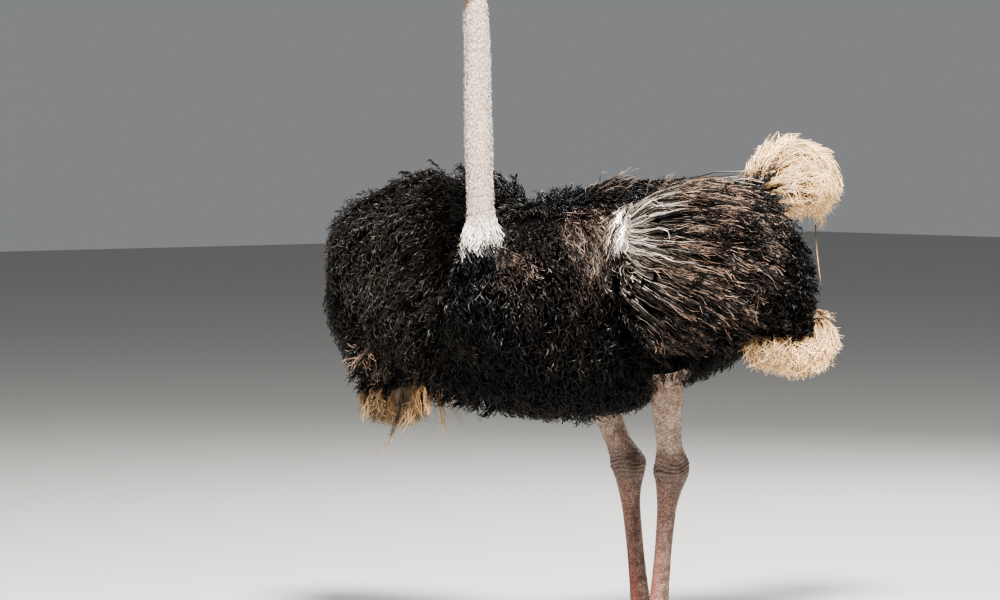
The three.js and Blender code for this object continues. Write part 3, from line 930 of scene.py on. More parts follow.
def dressed(name, roots, seed, sizes=(0.85, 1.15), swirl=0.35, kinds=6):
    # the lie, size, kind and shade of the plume on each root
    rng = np.random.default_rng(seed)
    p, n = roots["at"], roots["outward"]
    count = len(p)
    lie = tangent(flows[name](p, n), n)
    roots["lie"] = turned(lie, n, swirl * noiseAt(p, 6, seed) * 2 + rng.normal(0, swirl * 0.45, count))
    left = p[:, 0] - shift.x
    lowRear = smooth(0.96, 0.80, p[:, 2]) * smooth(0.34, 0.10, shift.y - p[:, 1]) * (left < 0.4)
    underTip = smooth(1.04, 0.96, p[:, 2]) * smooth(0.52, 0.60, left)
    roots["size"] = rng.uniform(*sizes, count) * (1 - 0.36 * smooth(0.56, 0.74, left) * (1 - underTip)) \
        * (1 - 0.42 * lowRear)
    roots["kind"] = rng.integers(0, kinds, count)
    roots["vary"] = rng.random(count)
    roots["pale"], roots["warm"] = markings(p, name)
    return roots


def gathered(parts):
    return {k: np.concatenate([part[k] for part in parts]) for k in parts[0]}


def subset(roots, mask):
    return {k: v[mask] for k, v in roots.items()}


def ribbonMesh(name, paths, widths, facing, along, local):
    # paths (strands, points, 3); a flat strip along each, facing roughly the given way
    strands, points, _ = paths.shape
    step = np.gradient(paths, axis=1)
    side = unit(np.cross(unit(step), facing)) * widths[..., None] / 2
    verts = np.stack([paths - side, paths + side], 2).reshape(-1, 3)
    base = np.arange(strands)[:, None] * points * 2 + np.arange(points - 1)[None] * 2
    quads = np.stack([base, base + 1, base + 3, base + 2], -1).reshape(-1, 4)
    mesh = bpy.data.meshes.new(name)
    mesh.vertices.add(len(verts))
    mesh.vertices.foreach_set("co", verts.astype(np.float32).ravel())
    mesh.loops.add(quads.size)
    mesh.loops.foreach_set("vertex_index", quads.astype(np.int32).ravel())
    mesh.polygons.add(len(quads))
    mesh.polygons.foreach_set("loop_start", np.arange(0, quads.size, 4, dtype=np.int32))
    mesh.update(calc_edges=True)
    mesh.shade_smooth()
    for key, value in (("along", along), ("localX", local[..., 0]), ("localY", local[..., 1])):
        mesh.attributes.new(key, "FLOAT", "POINT").data.foreach_set(
            "value", np.repeat(value.reshape(-1), 2).astype(np.float32))
    return mesh


def plumeKind(name, seed, length, barbs, barb, width, spread, rise, bow, curl, wave, segments, low=0.0):
    # a loose feather lying along +Y and leaning off the skin (+Z): barbs leave a bowed shaft and curl over
    rng = np.random.default_rng(seed)
    s = (np.arange(barbs) + 0.4 * rng.random(barbs)) / barbs
    side = np.where(np.arange(barbs) % 2 == 0, 1.0, -1.0)
    start = np.stack([rng.normal(0, 0.0025, barbs), length * s,
                      low + rise * s - bow * (length * s) ** 2 + rng.normal(0, 0.002, barbs)], 1)
    u = np.linspace(0, 1, segments + 1)
    long = barb * rng.uniform(0.7, 1.15, barbs)
    yaw0 = side * spread * rng.uniform(0.45, 1.25, barbs) * (1 - 0.45 * s)
    pitch0 = rng.uniform(0.05, 0.75, barbs)
    phase = rng.uniform(0, 2 * np.pi, barbs)
    sway = rng.normal(0, curl, barbs)
    yaw = yaw0[:, None] + sway[:, None] * u ** 1.3 + wave * np.sin(2 * np.pi * 1.15 * u + phase[:, None])
    pitch = pitch0[:, None] - (1.35 * curl * u[None] ** 1.2) * rng.uniform(0.4, 1.3, barbs)[:, None] \
        + wave * 0.8 * np.cos(2 * np.pi * 1.0 * u + phase[:, None])
    heading = np.stack([np.sin(yaw) * np.cos(pitch), np.cos(yaw) * np.cos(pitch), np.sin(pitch)], -1)
    step = long[:, None, None] / segments
    paths = start[:, None] + np.concatenate(
        [np.zeros((barbs, 1, 3)), np.cumsum((heading[:, :-1] + heading[:, 1:]) / 2 * step, 1)], 1)
    taper = width * (1 - 0.62 * u ** 1.6)[None] * rng.uniform(0.8, 1.2, barbs)[:, None]
    twist = rng.normal(0, 0.7, barbs)[:, None] + rng.normal(0, 0.8, barbs)[:, None] * u
    facing = np.stack([np.sin(twist), np.zeros_like(twist), np.cos(twist)], -1)
    along = np.clip(0.25 * s[:, None] + 0.75 * u[None], 0, 1)
    local = np.stack([paths[..., 0] / (length + barb) + 0.5, paths[..., 1] / (length + barb)], -1)
    return ribbonMesh(name, paths, taper, facing, along, local)


def guidesFrom(roots, flow, long, steps, lift=0.02, inertia=0.5, weight=0.15):
    # long plumes follow the lie over the skin, and hang free past its edge
    tree = skinTree
    lift = np.broadcast_to(lift, len(roots["at"]))
    p = roots["at"] + roots["outward"] * 0.002
    n = roots["outward"].copy()
    way = roots["lie"].copy()
    points, normals = [p], [n]
    for k in range(1, steps + 1):
        pull = unit(flow(p, n))
        way = unit(way * inertia + pull * (1 - inertia) + np.array((0, 0, -weight)) * (k / steps))
        p = p + way * (long / steps)[:, None]
        wanted = 0.004 + lift * k / steps
        n = n.copy()
        for i in range(len(p)):
            hit, normal, _, _ = tree.find_nearest(Vector(p[i]))
            normal = np.array(normal)
            gap = float(np.dot(p[i] - np.array(hit), normal))
            if gap < wanted[i]:
                p[i] += normal * (wanted[i] - gap)
            elif gap < wanted[i] + 0.03:
                p[i] += normal * (wanted[i] - gap) * 0.6
            if gap < 0.05:
                n[i] = unit(n[i] * 0.4 + normal * 0.6)
        points.append(p)
        normals.append(n)
    return np.stack(points, 1), np.stack(normals, 1)


def lockMesh(name, roots, guides, seed, strands, segments, width, spread, deep, wave, cycles, curl=0.0, early=0.6,
             follow="", light=0.0):
    # a lock of wavy strands along each guide; spread and deep are its half width and half depth at the tip.
    # light is the share of strands that are paler near the root: partly pale shafts, partly painted highlight
    rng = np.random.default_rng(seed)
    line, normal = guides
    count, steps = line.shape[0], line.shape[1] - 1
    u = np.linspace(0, 1, segments + 1)
    reach = rng.uniform(early, 1.0, (count, strands, 1))
    t = np.clip(u * reach, 0, 1) * steps
    i = np.minimum(t.astype(int), steps - 1)
    w = (t - i)[..., None]
    g = np.arange(count)[:, None, None]
    core = line[g, i] * (1 - w) + line[g, i + 1] * w
    up = unit(normal[g, i] * (1 - w) + normal[g, i + 1] * w)
    ahead = unit(line[g, i + 1] - line[g, i])
    side = unit(np.cross(ahead, up))
    fan = (0.25 + 0.75 * np.sqrt(u))[None, None, :, None]
    across = rng.uniform(-1, 1, (count, strands, 1, 1)) * spread
    height = rng.uniform(-0.35, 1, (count, strands, 1, 1)) * deep
    phase = rng.uniform(0, 2 * np.pi, (count, strands, 1))
    turn = 2 * np.pi * cycles * u * rng.uniform(0.75, 1.25, (count, strands, 1))
    sway = (np.sin(turn + phase) * wave * (0.15 + 0.85 * u))[..., None]
    heave = (np.cos(turn * 0.9 + phase) * wave * 0.7 * (0.15 + 0.85 * u))[..., None]
    hook = (np.clip((u - 0.62) / 0.38, 0, 1) ** 2 * rng.normal(0, 1, (count, strands, 1)))[..., None] * curl
    paths = core + side * (across * fan + sway + hook) + up * (height * fan + heave)
    widths = width * (1 - 0.65 * u ** 1.8) * rng.uniform(0.75, 1.25, (count, strands, 1))
    twist = rng.normal(0, 0.55, (count, strands, 1)) + rng.normal(0, 0.6, (count, strands, 1)) * u
    facing = up * np.cos(twist)[..., None] + side * np.sin(twist)[..., None]
    total = count * strands
    along = np.broadcast_to(u, (count, strands, segments + 1)).reshape(total, -1)
    local = np.stack([np.broadcast_to(0.5 + 0.5 * across[..., 0] / max(spread, 1e-6), along.reshape(count, strands, -1).shape),
                      np.broadcast_to(u, (count, strands, segments + 1))], -1).reshape(total, segments + 1, 2)
    mesh = ribbonMesh(name, paths.reshape(total, segments + 1, 3), widths.reshape(total, segments + 1),
                      facing.reshape(total, segments + 1, 3), along, local)
    per = strands * (segments + 1) * 2
    pale, warm = np.repeat(roots["pale"], per), np.repeat(roots["warm"], per)
    if follow:
        pale, warm = markings(coords(mesh), follow)
    # painted highlight along some strands, paler and browner towards the root; the rest a little less brown
    if light:
        chosen = np.repeat(rng.random(total) < light, per // strands)
        fade = 1 - smooth(0.25, 0.85, np.repeat(np.broadcast_to(u, (total, segments + 1)).reshape(-1), 2))
        pale, warm = pale + 0.42 * chosen * fade, np.where(chosen, np.maximum(warm, 0.9), warm * 0.7)
    for key, value in (("pale", pale), ("warm", warm), ("vary", np.repeat(roots["vary"], per))):
        mesh.attributes.new(key, "FLOAT", "POINT").data.foreach_set("value", value.astype(np.float32))
    return mesh, np.repeat(roots["place"], per, 0), np.repeat(local.reshape(-1, 2), 2, 0)


def growLocks(name, roots, guides, material, slot, **shape):
    mesh, rootPlace, localPlace = lockMesh(name, roots, guides, **shape)
    for key in ("localX", "localY"):
        mesh.attributes.remove(mesh.attributes[key])
    mesh.materials.append(material)
    piece = bpy.data.objects.new(name, mesh)
    bpy.context.scene.collection.objects.link(piece)
    return finishCoat(piece, rootPlace, localPlace)


def plumeKinds(label, count, seed, **shape):
    home = bpy.data.collections.new(label)
    for k in range(count):
        mesh = plumeKind(f"{label}{k}", seed + k, **shape)
        home.objects.link(bpy.data.objects.new(f"{label}{k}", mesh))
    return home


def plumeTree():
    # sets one kind of plume on every root, turned to its outward and lie directions
    tree = bpy.data.node_groups.new("plumesOnSkin", "GeometryNodeTree")
    face = tree.interface
    face.new_socket("Geometry", in_out="INPUT", socket_type="NodeSocketGeometry")
    face.new_socket("Plumes", in_out="INPUT", socket_type="NodeSocketCollection")
    face.new_socket("Size", in_out="INPUT", socket_type="NodeSocketFloat")
    face.new_socket("Material", in_out="INPUT", socket_type="NodeSocketMaterial")
    face.new_socket("Geometry", in_out="OUTPUT", socket_type="NodeSocketGeometry")
    nodes, links = tree.nodes, tree.links
    inward = nodes.new("NodeGroupInput")
    outward = nodes.new("NodeGroupOutput")

    def named(key, kind):
        node = nodes.new("GeometryNodeInputNamedAttribute")
        node.data_type = kind
        node.inputs["Name"].default_value = key
        return node.outputs["Attribute"]
    kinds = nodes.new("GeometryNodeCollectionInfo")
    kinds.inputs["Separate Children"].default_value = True
    kinds.inputs["Reset Children"].default_value = True
    links.new(inward.outputs["Plumes"], kinds.inputs["Collection"])
    axes = nodes.new("FunctionNodeAxesToRotation")
    axes.primary_axis, axes.secondary_axis = "Z", "Y"
    links.new(named("outward", "FLOAT_VECTOR"), axes.inputs["Primary Axis"])
    links.new(named("lie", "FLOAT_VECTOR"), axes.inputs["Secondary Axis"])
    size = nodes.new("ShaderNodeMath")
    size.operation = "MULTIPLY"
    links.new(named("size", "FLOAT"), size.inputs[0])
    links.new(inward.outputs["Size"], size.inputs[1])
    put = nodes.new("GeometryNodeInstanceOnPoints")
    put.inputs["Pick Instance"].default_value = True
    links.new(inward.outputs["Geometry"], put.inputs["Points"])
    links.new(kinds.outputs["Instances"], put.inputs["Instance"])
    links.new(named("kind", "INT"), put.inputs["Instance Index"])
    links.new(axes.outputs["Rotation"], put.inputs["Rotation"])
    links.new(size.outputs[0], put.inputs["Scale"])
    real = nodes.new("GeometryNodeRealizeInstances")
    links.new(put.outputs["Instances"], real.inputs["Geometry"])
    paint = nodes.new("GeometryNodeSetMaterial")
    links.new(real.outputs["Geometry"], paint.inputs["Geometry"])
    links.new(inward.outputs["Material"], paint.inputs["Material"])
    links.new(paint.outputs["Geometry"], outward.inputs["Geometry"])
    return tree


plumeNodes = plumeTree()
coatPieces = []
patchSize = 0.003  # how wide each plume's own patch is on the bake's unwrap


def finishCoat(piece, rootPlace, localPlace):
    mesh = piece.data
    for layer in list(mesh.uv_layers):
        mesh.uv_layers.remove(layer)
    layer = mesh.uv_layers.new(name="OFBake")
    vertex = np.empty(len(mesh.loops), int)
    mesh.loops.foreach_get("vertex_index", vertex)
    uv = np.clip(rootPlace * 0.99 + 0.003 + (localPlace - 0.5) * patchSize, 0.0005, 0.9995)
    layer.data.foreach_set("uv", uv[vertex].astype(np.float32).ravel())
    mesh.shade_smooth()
    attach(piece, "root")
    coatPieces.append(piece)
    tell(f"{piece.name} {2 * len(mesh.polygons)} triangles")
    return piece


def growPlumes(name, roots, home, material, size=1.0):
    mesh = bpy.data.meshes.new(name)
    mesh.vertices.add(len(roots["at"]))
    mesh.vertices.foreach_set("co", roots["at"].astype(np.float32).ravel())
    place = np.concatenate([roots["place"], np.zeros((len(roots["at"]), 1))], 1)
    for key, kind, value in (("outward", "FLOAT_VECTOR", roots["outward"]), ("lie", "FLOAT_VECTOR", roots["lie"]),
                             ("place", "FLOAT_VECTOR", place), ("size", "FLOAT", roots["size"]),
                             ("kind", "INT", roots["kind"]), ("vary", "FLOAT", roots["vary"]),
                             ("pale", "FLOAT", roots["pale"]), ("warm", "FLOAT", roots["warm"])):
        field = "vector" if kind == "FLOAT_VECTOR" else "value"
        dtype = np.int32 if kind == "INT" else np.float32
        mesh.attributes.new(key, kind, "POINT").data.foreach_set(field, np.asarray(value).astype(dtype).ravel())
    piece = bpy.data.objects.new(name + "Roots", mesh)
    bpy.context.scene.collection.objects.link(piece)
    grow = piece.modifiers.new("grow", "NODES")
    grow.node_group = plumeNodes
    wanted = {"Plumes": home, "Size": size, "Material": material}
    for item in plumeNodes.interface.items_tree:
        if item.item_type == "SOCKET" and item.in_out == "INPUT" and item.name in wanted:
            grow[item.identifier] = wanted[item.name]
    done = applied(piece, name)
    mesh = done.data
    count = len(mesh.vertices)
    rootPlace = np.empty(count * 3)
    mesh.attributes["place"].data.foreach_get("vector", rootPlace)
    local = np.empty((2, count))
    mesh.attributes["localX"].data.foreach_get("value", local[0])
    mesh.attributes["localY"].data.foreach_get("value", local[1])
    for key in ("outward", "lie", "place", "size", "kind", "localX", "localY"):
        if key in mesh.attributes:
            mesh.attributes.remove(mesh.attributes[key])
    return finishCoat(done, rootPlace.reshape(-1, 3)[:, :2], local.T)


def paintTree(name, inputs, outputs):
    tree = bpy.data.node_groups.new(name, "ShaderNodeTree")
    kinds = {"colour": "NodeSocketColor", "value": "NodeSocketFloat", "vector": "NodeSocketVector"}
    for label, kind, value in inputs:
        socket = tree.interface.new_socket(label, in_out="INPUT", socket_type=kinds[kind])
        if value is not None:
            socket.default_value = value
    for label, kind in outputs:
        tree.interface.new_socket(label, in_out="OUTPUT", socket_type=kinds[kind])
    return tree, tree.nodes.new("NodeGroupInput").outputs, tree.nodes.new("NodeGroupOutput").inputs


def mathNode(tree, operation, a, b=None, clamp=False):
    node = tree.nodes.new("ShaderNodeMath")
    node.operation = operation
    node.use_clamp = clamp
    for socket, value in ((node.inputs[0], a), (node.inputs[1], b)):
        if value is None:
            continue
        if isinstance(value, (int, float)):
            socket.default_value = value
        else:
            tree.links.new(value, socket)
    return node.outputs[0]


def mixNode(tree, factor, a, b, blend="MIX"):
    node = tree.nodes.new("ShaderNodeMix")
    node.data_type = "RGBA"
    node.blend_type = blend
    for socket, value in ((node.inputs[0], factor), (node.inputs[6], a), (node.inputs[7], b)):
        if isinstance(value, (int, float)):
            socket.default_value = value
        elif isinstance(value, tuple):
            socket.default_value = (*value, 1)
        else:
            tree.links.new(value, socket)
    return node.outputs[2]


def noiseNode(tree, coordinate, scale, detail=2.0, rough=0.5):
    node = tree.nodes.new("ShaderNodeTexNoise")
    node.inputs["Scale"].default_value = scale
    node.inputs["Detail"].default_value = detail
    node.inputs["Roughness"].default_value = rough
    tree.links.new(coordinate, node.inputs["Vector"])
    return node.outputs["Fac"]


def rangeNode(tree, value, low, high, to=(0, 1), smoothStep=True):
    node = tree.nodes.new("ShaderNodeMapRange")
    if smoothStep:
        node.interpolation_type = "SMOOTHSTEP"
    for label, number in (("From Min", low), ("From Max", high), ("To Min", to[0]), ("To Max", to[1])):
        node.inputs[label].default_value = number
    tree.links.new(value, node.inputs["Value"])
    return node.outputs["Result"]


def plumeColourTree():
    tree, given, result = paintTree("plumeColour", [
        ("Dark", "colour", None), ("Warm", "colour", None), ("Pale", "colour", None),
        ("Warmth", "value", 0), ("Paleness", "value", 0), ("Vary", "value", 0.5), ("Along", "value", 0.5),
        ("Tip", "value", 1.6), ("Root", "value", 1.0), ("Position", "vector", None)], [("Colour", "colour")])
    mottle = noiseNode(tree, given["Position"], 55, 3)
    warmth = mathNode(tree, "MULTIPLY", given["Warmth"], rangeNode(tree, mottle, 0.25, 0.75, (0.3, 1.5)), True)
    colour = mixNode(tree, warmth, given["Dark"], given["Warm"])
    paleness = mathNode(tree, "MULTIPLY", given["Paleness"], rangeNode(tree, mottle, 0.2, 0.45, (0.86, 1.0)), True)
    # cream plumes are tan towards their roots: partly their own tan, partly painted shade among the plumes
    rootTanAndShade = mathNode(tree, "MAXIMUM", rangeNode(tree, given["Along"], 0.05, 0.8, (0.1, 1.0)), given["Root"])
    rootTanAndShade = mixNode(tree, rootTanAndShade, given["Warm"], given["Pale"])
    colour = mixNode(tree, paleness, colour, rootTanAndShade)
    # random tone, times painted shade towards the roots
    shade = mathNode(tree, "MULTIPLY", rangeNode(tree, given["Vary"], 0, 1, (0.72, 1.25), False),
                     rangeNode(tree, given["Along"], 0.35, 1, (0.75, 1.0)))
    # painted highlight: barbs grow lighter towards their tips, by Tip
    tip = mathNode(tree, "MULTIPLY", mathNode(tree, "SUBTRACT", given["Tip"], 1.0),
                   rangeNode(tree, given["Along"], 0.55, 1, (0, 1)))
    bright = mathNode(tree, "MULTIPLY", shade, mathNode(tree, "ADD", tip, 1.0))
    scaled = tree.nodes.new("ShaderNodeVectorMath")
    scaled.operation = "SCALE"
    tree.links.new(colour, scaled.inputs[0])
    tree.links.new(bright, scaled.inputs["Scale"])
    tree.links.new(scaled.outputs[0], result["Colour"])
    return tree


plumeColour = plumeColourTree()


def newPaint(name):
    paint = bpy.data.materials.new(name)
    paint.use_nodes = True
    tree = paint.node_tree
    shader = tree.nodes["Principled BSDF"]
    place = tree.nodes.new("ShaderNodeTexCoord").outputs["Object"]
    return paint, tree, shader, place


def attributeNode(tree, key):
    node = tree.nodes.new("ShaderNodeAttribute")
    node.attribute_name = key
    return node.outputs["Fac"]


def plumePaint(name, dark, warm, pale, tip=1.6, rough=0.5, gloss=0.5, root=1.0):
    paint, tree, shader, place = newPaint(name)
    group = tree.nodes.new("ShaderNodeGroup")
    group.node_tree = plumeColour
    for label, value in (("Dark", dark), ("Warm", warm), ("Pale", pale)):
        group.inputs[label].default_value = (*value, 1)
    # tip sets the painted highlight at the barbs' tips; root, from 0 to 1, lifts the tan and painted shade at a cream
    # plume's root
    group.inputs["Tip"].default_value = tip
    group.inputs["Root"].default_value = root
    for label, key in (("Warmth", "warm"), ("Paleness", "pale"), ("Vary", "vary"), ("Along", "along")):
        tree.links.new(attributeNode(tree, key), group.inputs[label])
    tree.links.new(place, group.inputs["Position"])
    tree.links.new(group.outputs["Colour"], shader.inputs["Base Color"])
    tree.links.new(rangeNode(tree, attributeNode(tree, "vary"), 0, 1, (rough - 0.08, rough + 0.08), False),
                   shader.inputs["Roughness"])
    shader.inputs["Specular IOR Level"].default_value = gloss
    return paint


blackPlumes = plumePaint("blackPlumes", (0.0028, 0.0025, 0.0026), (0.066, 0.045, 0.034), (0.85, 0.75, 0.66),
                         tip=6.5, rough=0.52, gloss=0.33)
underPlumes = plumePaint("underPlumes", (0.0028, 0.0025, 0.0026), (0.060, 0.038, 0.026), (0.70, 0.58, 0.46),
                         tip=1.0, rough=0.88, gloss=0.04)
creamPlumes = plumePaint("creamPlumes", (0.12, 0.07, 0.04), (0.36, 0.20, 0.09), (0.97, 0.73, 0.46),
                         tip=1.2, rough=0.62, gloss=0.22, root=0.2)
neckPlumes = plumePaint("neckPlumes", (0.008, 0.009, 0.013), (0.085, 0.058, 0.043), (0.85, 0.81, 0.74),
                        tip=2.6, rough=0.5, gloss=0.4)
downPaint = plumePaint("neckDown", (0.70, 0.60, 0.52), (0.50, 0.38, 0.31), (0.92, 0.86, 0.79),
                       tip=1.1, rough=0.65, gloss=0.2)

skinMesh = skin.data
centres = np.empty(len(skinMesh.polygons) * 3)
skinMesh.polygons.foreach_get("center", centres)
centres = centres.reshape(-1, 3)
left, ahead, up = birdPlaces(centres)
onNeck = (up > 1.20) & (np.hypot(left, ahead - 0.638) < 0.072) | (up > 1.45)
toLeg = np.full(len(centres), 9.0)
for side in ("left", "right"):
    bones = [at(*legs[side][k]) for k in ("knee", "ankle", "foot")]
    for a, b in zip(bones, bones[1:]):
        t = np.clip(((centres - a) @ (b - a)) / np.dot(b - a, b - a), 0, 1)
        toLeg = np.minimum(toLeg, np.linalg.norm(centres - (a + t[:, None] * (b - a)), axis=1))
onLeg = (up < 0.60) | ((up < 0.815) & (toLeg < 0.085))
index = np.where(onNeck, 1, np.where(onLeg, 2, 0)).astype(np.int32)
skinPlaces = coords(skinMesh)
pale, warm = markings(skinPlaces)
# painted shade: the skin between the tail's plumes is darkened to tan so the gaps read as shaded plumes
tanAndShadeUnderTail = skinPlaces[:, 1] > at(0, -0.36, 0)[1]  # tan between the tail's plumes
pale, warm = np.where(tanAndShadeUnderTail, 0.35 * pale, pale), np.where(tanAndShadeUnderTail, np.maximum(warm, 0.9 * pale), warm)
# painted shade: the skin under the flight plumes is tan too
for form in ("flightLeft", "flightRight"):
    low, high = surfaces[form]["co"].min(0), surfaces[form]["co"].max(0)
    for i in np.flatnonzero(np.all((skinPlaces >= low) & (skinPlaces <= high), 1)):
        if surfaces[form]["tree"].find_nearest(Vector(skinPlaces[i]))[3] < 0.0004:
            pale[i], warm[i] = 0.35, 0.9
skinOut = vertexNormals(skinMesh)
side, ahead, up = birdPlaces(skinPlaces)
onTarsus = smooth(0.50, 0.46, up)
scute = onTarsus * np.maximum(smooth(0.45, 0.70, -skinOut[:, 1]) * smooth(0.10, 0.14, up),
                              smooth(0.50, 0.75, skinOut[:, 2]) * smooth(0.16, 0.12, up))
ankle = np.exp(-((up - 0.522) / 0.045) ** 2)
for key, value in (("pale", pale), ("warm", warm), ("vary", np.full(len(pale), 0.4)), ("along", np.full(len(pale), 0.3)),
                   ("scute", scute), ("ankle", ankle), ("shank", smooth(0.535, 0.60, up)),
                   ("foot", smooth(0.42, 0.10, up)), ("face", 0.75 * smooth(1.82, 1.85, up))):
    skinMesh.attributes.new(key, "FLOAT", "POINT").data.foreach_set("value", value.astype(np.float32))


def bumpNode(tree, height, distance, strength=1.0, under=None):
    node = tree.nodes.new("ShaderNodeBump")
    node.inputs["Distance"].default_value = distance
    node.inputs["Strength"].default_value = strength
    tree.links.new(height, node.inputs["Height"])
    if under is not None:
        tree.links.new(under, node.inputs["Normal"])
    return node.outputs["Normal"]


def neckPaint():
    paint, tree, shader, place = newPaint("neckSkin")
    stretch = tree.nodes.new("ShaderNodeMapping")
    stretch.inputs["Scale"].default_value = (1, 1, 0.45)
    tree.links.new(place, stretch.inputs["Vector"])
    stipple = tree.nodes.new("ShaderNodeTexVoronoi")
    stipple.inputs["Scale"].default_value = 250
    tree.links.new(stretch.outputs[0], stipple.inputs["Vector"])
    dots = rangeNode(tree, stipple.outputs["Distance"], 0.15, 0.6, (0, 1))
    dots = mathNode(tree, "MULTIPLY", dots, mathNode(tree, "SUBTRACT", 1.0, attributeNode(tree, "face")))
    blotch = noiseNode(tree, place, 24, 4)
    flesh = mixNode(tree, rangeNode(tree, blotch, 0.35, 0.7), (0.56, 0.41, 0.33), (0.68, 0.54, 0.45))
    colour = mixNode(tree, dots, flesh, (0.26, 0.19, 0.16))
    face = mixNode(tree, rangeNode(tree, noiseNode(tree, place, 75, 5, 0.6), 0.35, 0.65), (0.30, 0.205, 0.170),
                   (0.43, 0.325, 0.275))
    colour = mixNode(tree, attributeNode(tree, "face"), colour, face)
    tree.links.new(colour, shader.inputs["Base Color"])
    shader.inputs["Roughness"].default_value = 0.62
    shader.inputs["Specular IOR Level"].default_value = 0.3
    raised = bumpNode(tree, mathNode(tree, "SUBTRACT", 1.0, dots), 0.0012, 0.8)
    tree.links.new(bumpNode(tree, noiseNode(tree, place, 160, 4), 0.0006, 0.6, raised), shader.inputs["Normal"])
    return paint


def legPaint():
    paint, tree, shader, place = newPaint("legSkin")
    patches = noiseNode(tree, place, 38, 5, 0.6)
    cells = tree.nodes.new("ShaderNodeTexVoronoi")
    cells.inputs["Scale"].default_value = 210
    tree.links.new(place, cells.inputs["Vector"])
    seams = rangeNode(tree, cells.outputs["Distance"], 0.25, 0.65)
    colour = mixNode(tree, rangeNode(tree, patches, 0.35, 0.62), (0.215, 0.130, 0.105), (0.46, 0.31, 0.255))
    pinker = mixNode(tree, rangeNode(tree, patches, 0.35, 0.62), (0.38, 0.26, 0.205), (0.60, 0.46, 0.38))
    colour = mixNode(tree, attributeNode(tree, "shank"), colour, pinker)
    colour = mixNode(tree, mathNode(tree, "MULTIPLY", attributeNode(tree, "ankle"), 0.65), colour, (0.190, 0.150, 0.132))
    plates = mixNode(tree, attributeNode(tree, "foot"), (0.42, 0.250, 0.205), (0.44, 0.150, 0.115))
    colour = mixNode(tree, mathNode(tree, "MULTIPLY", attributeNode(tree, "scute"), 0.8), colour, plates)
    colour = mixNode(tree, mathNode(tree, "MULTIPLY", seams, 0.6), colour, (0.060, 0.040, 0.035))
    flecks = tree.nodes.new("ShaderNodeTexVoronoi")
    flecks.inputs["Scale"].default_value = 420
    tree.links.new(place, flecks.inputs["Vector"])
    dry = rangeNode(tree, flecks.outputs["Distance"], 0.34, 0.04)
    dry = mathNode(tree, "MULTIPLY", dry, rangeNode(tree, noiseNode(tree, place, 14, 3), 0.48, 0.70, (0.0, 0.30)))
    colour = mixNode(tree, dry, colour, (0.62, 0.52, 0.45))
    tree.links.new(colour, shader.inputs["Base Color"])
    shader.inputs["Roughness"].default_value = 0.55
    shader.inputs["Specular IOR Level"].default_value = 0.4
    raised = bumpNode(tree, mathNode(tree, "SUBTRACT", 1.0, seams), 0.0011, 0.7)
    tree.links.new(bumpNode(tree, noiseNode(tree, place, 120, 5), 0.0012, 0.6, raised), shader.inputs["Normal"])
    return paint


skinMesh.materials.clear()
for paint in (underPlumes, neckPaint(), legPaint()):
    skinMesh.materials.append(paint)
skinMesh.polygons.foreach_set("material_index", index)
skinMesh.shade_smooth()
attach(skin, "root")
for node in ("head", "neck_upper", "neck_middle", "neck_lower", "neck_base", "trunk", "thigh_left", "thigh_right",
             "shank_left", "shank_right", "tarsus_left", "tarsus_right", "toe_big_left", "toe_big_right",
             "toe_small_left", "toe_small_right", "wing_left", "wing_right", "tail",
             "flight_plumes_left", "flight_plumes_right"):
    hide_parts(node)

curl = {"length": 0.080, "barbs": 24, "barb": 0.035, "width": 0.0029, "spread": 0.62, "rise": 0.024, "bow": 1.2,
        "curl": 0.9, "wave": 0.5, "segments": 4}
wool = {"length": 0.030, "barbs": 12, "barb": 0.022, "width": 0.0024, "spread": 0.7, "rise": 0.010, "bow": 0.8,
        "curl": 0.8, "wave": 0.4, "segments": 3}
lance = {"length": 0.020, "barbs": 8, "barb": 0.028, "width": 0.0026, "spread": 0.38, "rise": 0.007, "bow": 0.0,
         "curl": 0.35, "wave": 0.15, "segments": 3}
down = {"length": 0.005, "barbs": 6, "barb": 0.0052, "width": 0.00065, "spread": 0.5, "rise": 0.0006, "bow": 0.0,
        "curl": 0.5, "wave": 0.2, "segments": 2}
curlPlumes = plumeKinds("curl", 6, 100, **curl)
woolPlumes = plumeKinds("wool", 6, 200, **wool)
lancePlumes = plumeKinds("lance", 6, 300, **lance)
downPlumes = plumeKinds("down", 6, 400, **down)


def fromPatch(p):
    return np.linalg.norm(p - patchLeft, axis=1)


def sweepSide(p, n):
    # the face of the left wing, where its long plumes are combed back from the patch
    return (n[:, 1] < 0.35) & (fromPatch(p) < 0.42) & (p[:, 0] > patchLeft[0] + 0.01)


def onShoulder(p):
    # between the neck's foot and the patch the plumes are fine and combed down
    return bump(p, at(0.205, 0.395, 1.235), 0.115) > 0.40


trunkRoots = dressed("trunk", sampled("trunk", plumage["spacing"], 11, lambda p, n: ~onShoulder(p)), 12)
thighRoots = [dressed(n, sampled(n, plumage["spacing"], 13 + i, lambda p, n: p[:, 2] > 0.800), 15 + i, (0.6, 0.8))
              for i, n in enumerate(("thighLeft", "thighRight"))]
innerLeft = sampled("wingLeft", plumage["spacing"], 17, lambda p, n: (~sweepSide(p, n) | (fromPatch(p) > 0.25))
                    & ~onShoulder(p) & (patchShare(p) < 0.3) & (p[:, 0] < shift.x + 0.54))
outerLeft = sampled("wingLeft", plumage["tipSpacing"], 27, lambda p, n: p[:, 0] > shift.x + 0.53)
wingEnd = {
    "way": np.array((0.64, 0.77, 0.0)),  # out and back
    "edge": 0.372,  # beyond this, along that way, the black plumes give way to cream ones
    "top": 1.035,
}
wingRootsLeft = dressed("wingLeft", gathered([innerLeft, outerLeft]), 18)
wingRootsRight = dressed("wingRight", sampled("wingRight", plumage["spacing"], 19), 20)
wingRootsRight["size"] *= 1 + 0.45 * bump(wingRootsRight["at"], at(-0.22, 0.31, 1.33), 0.13)
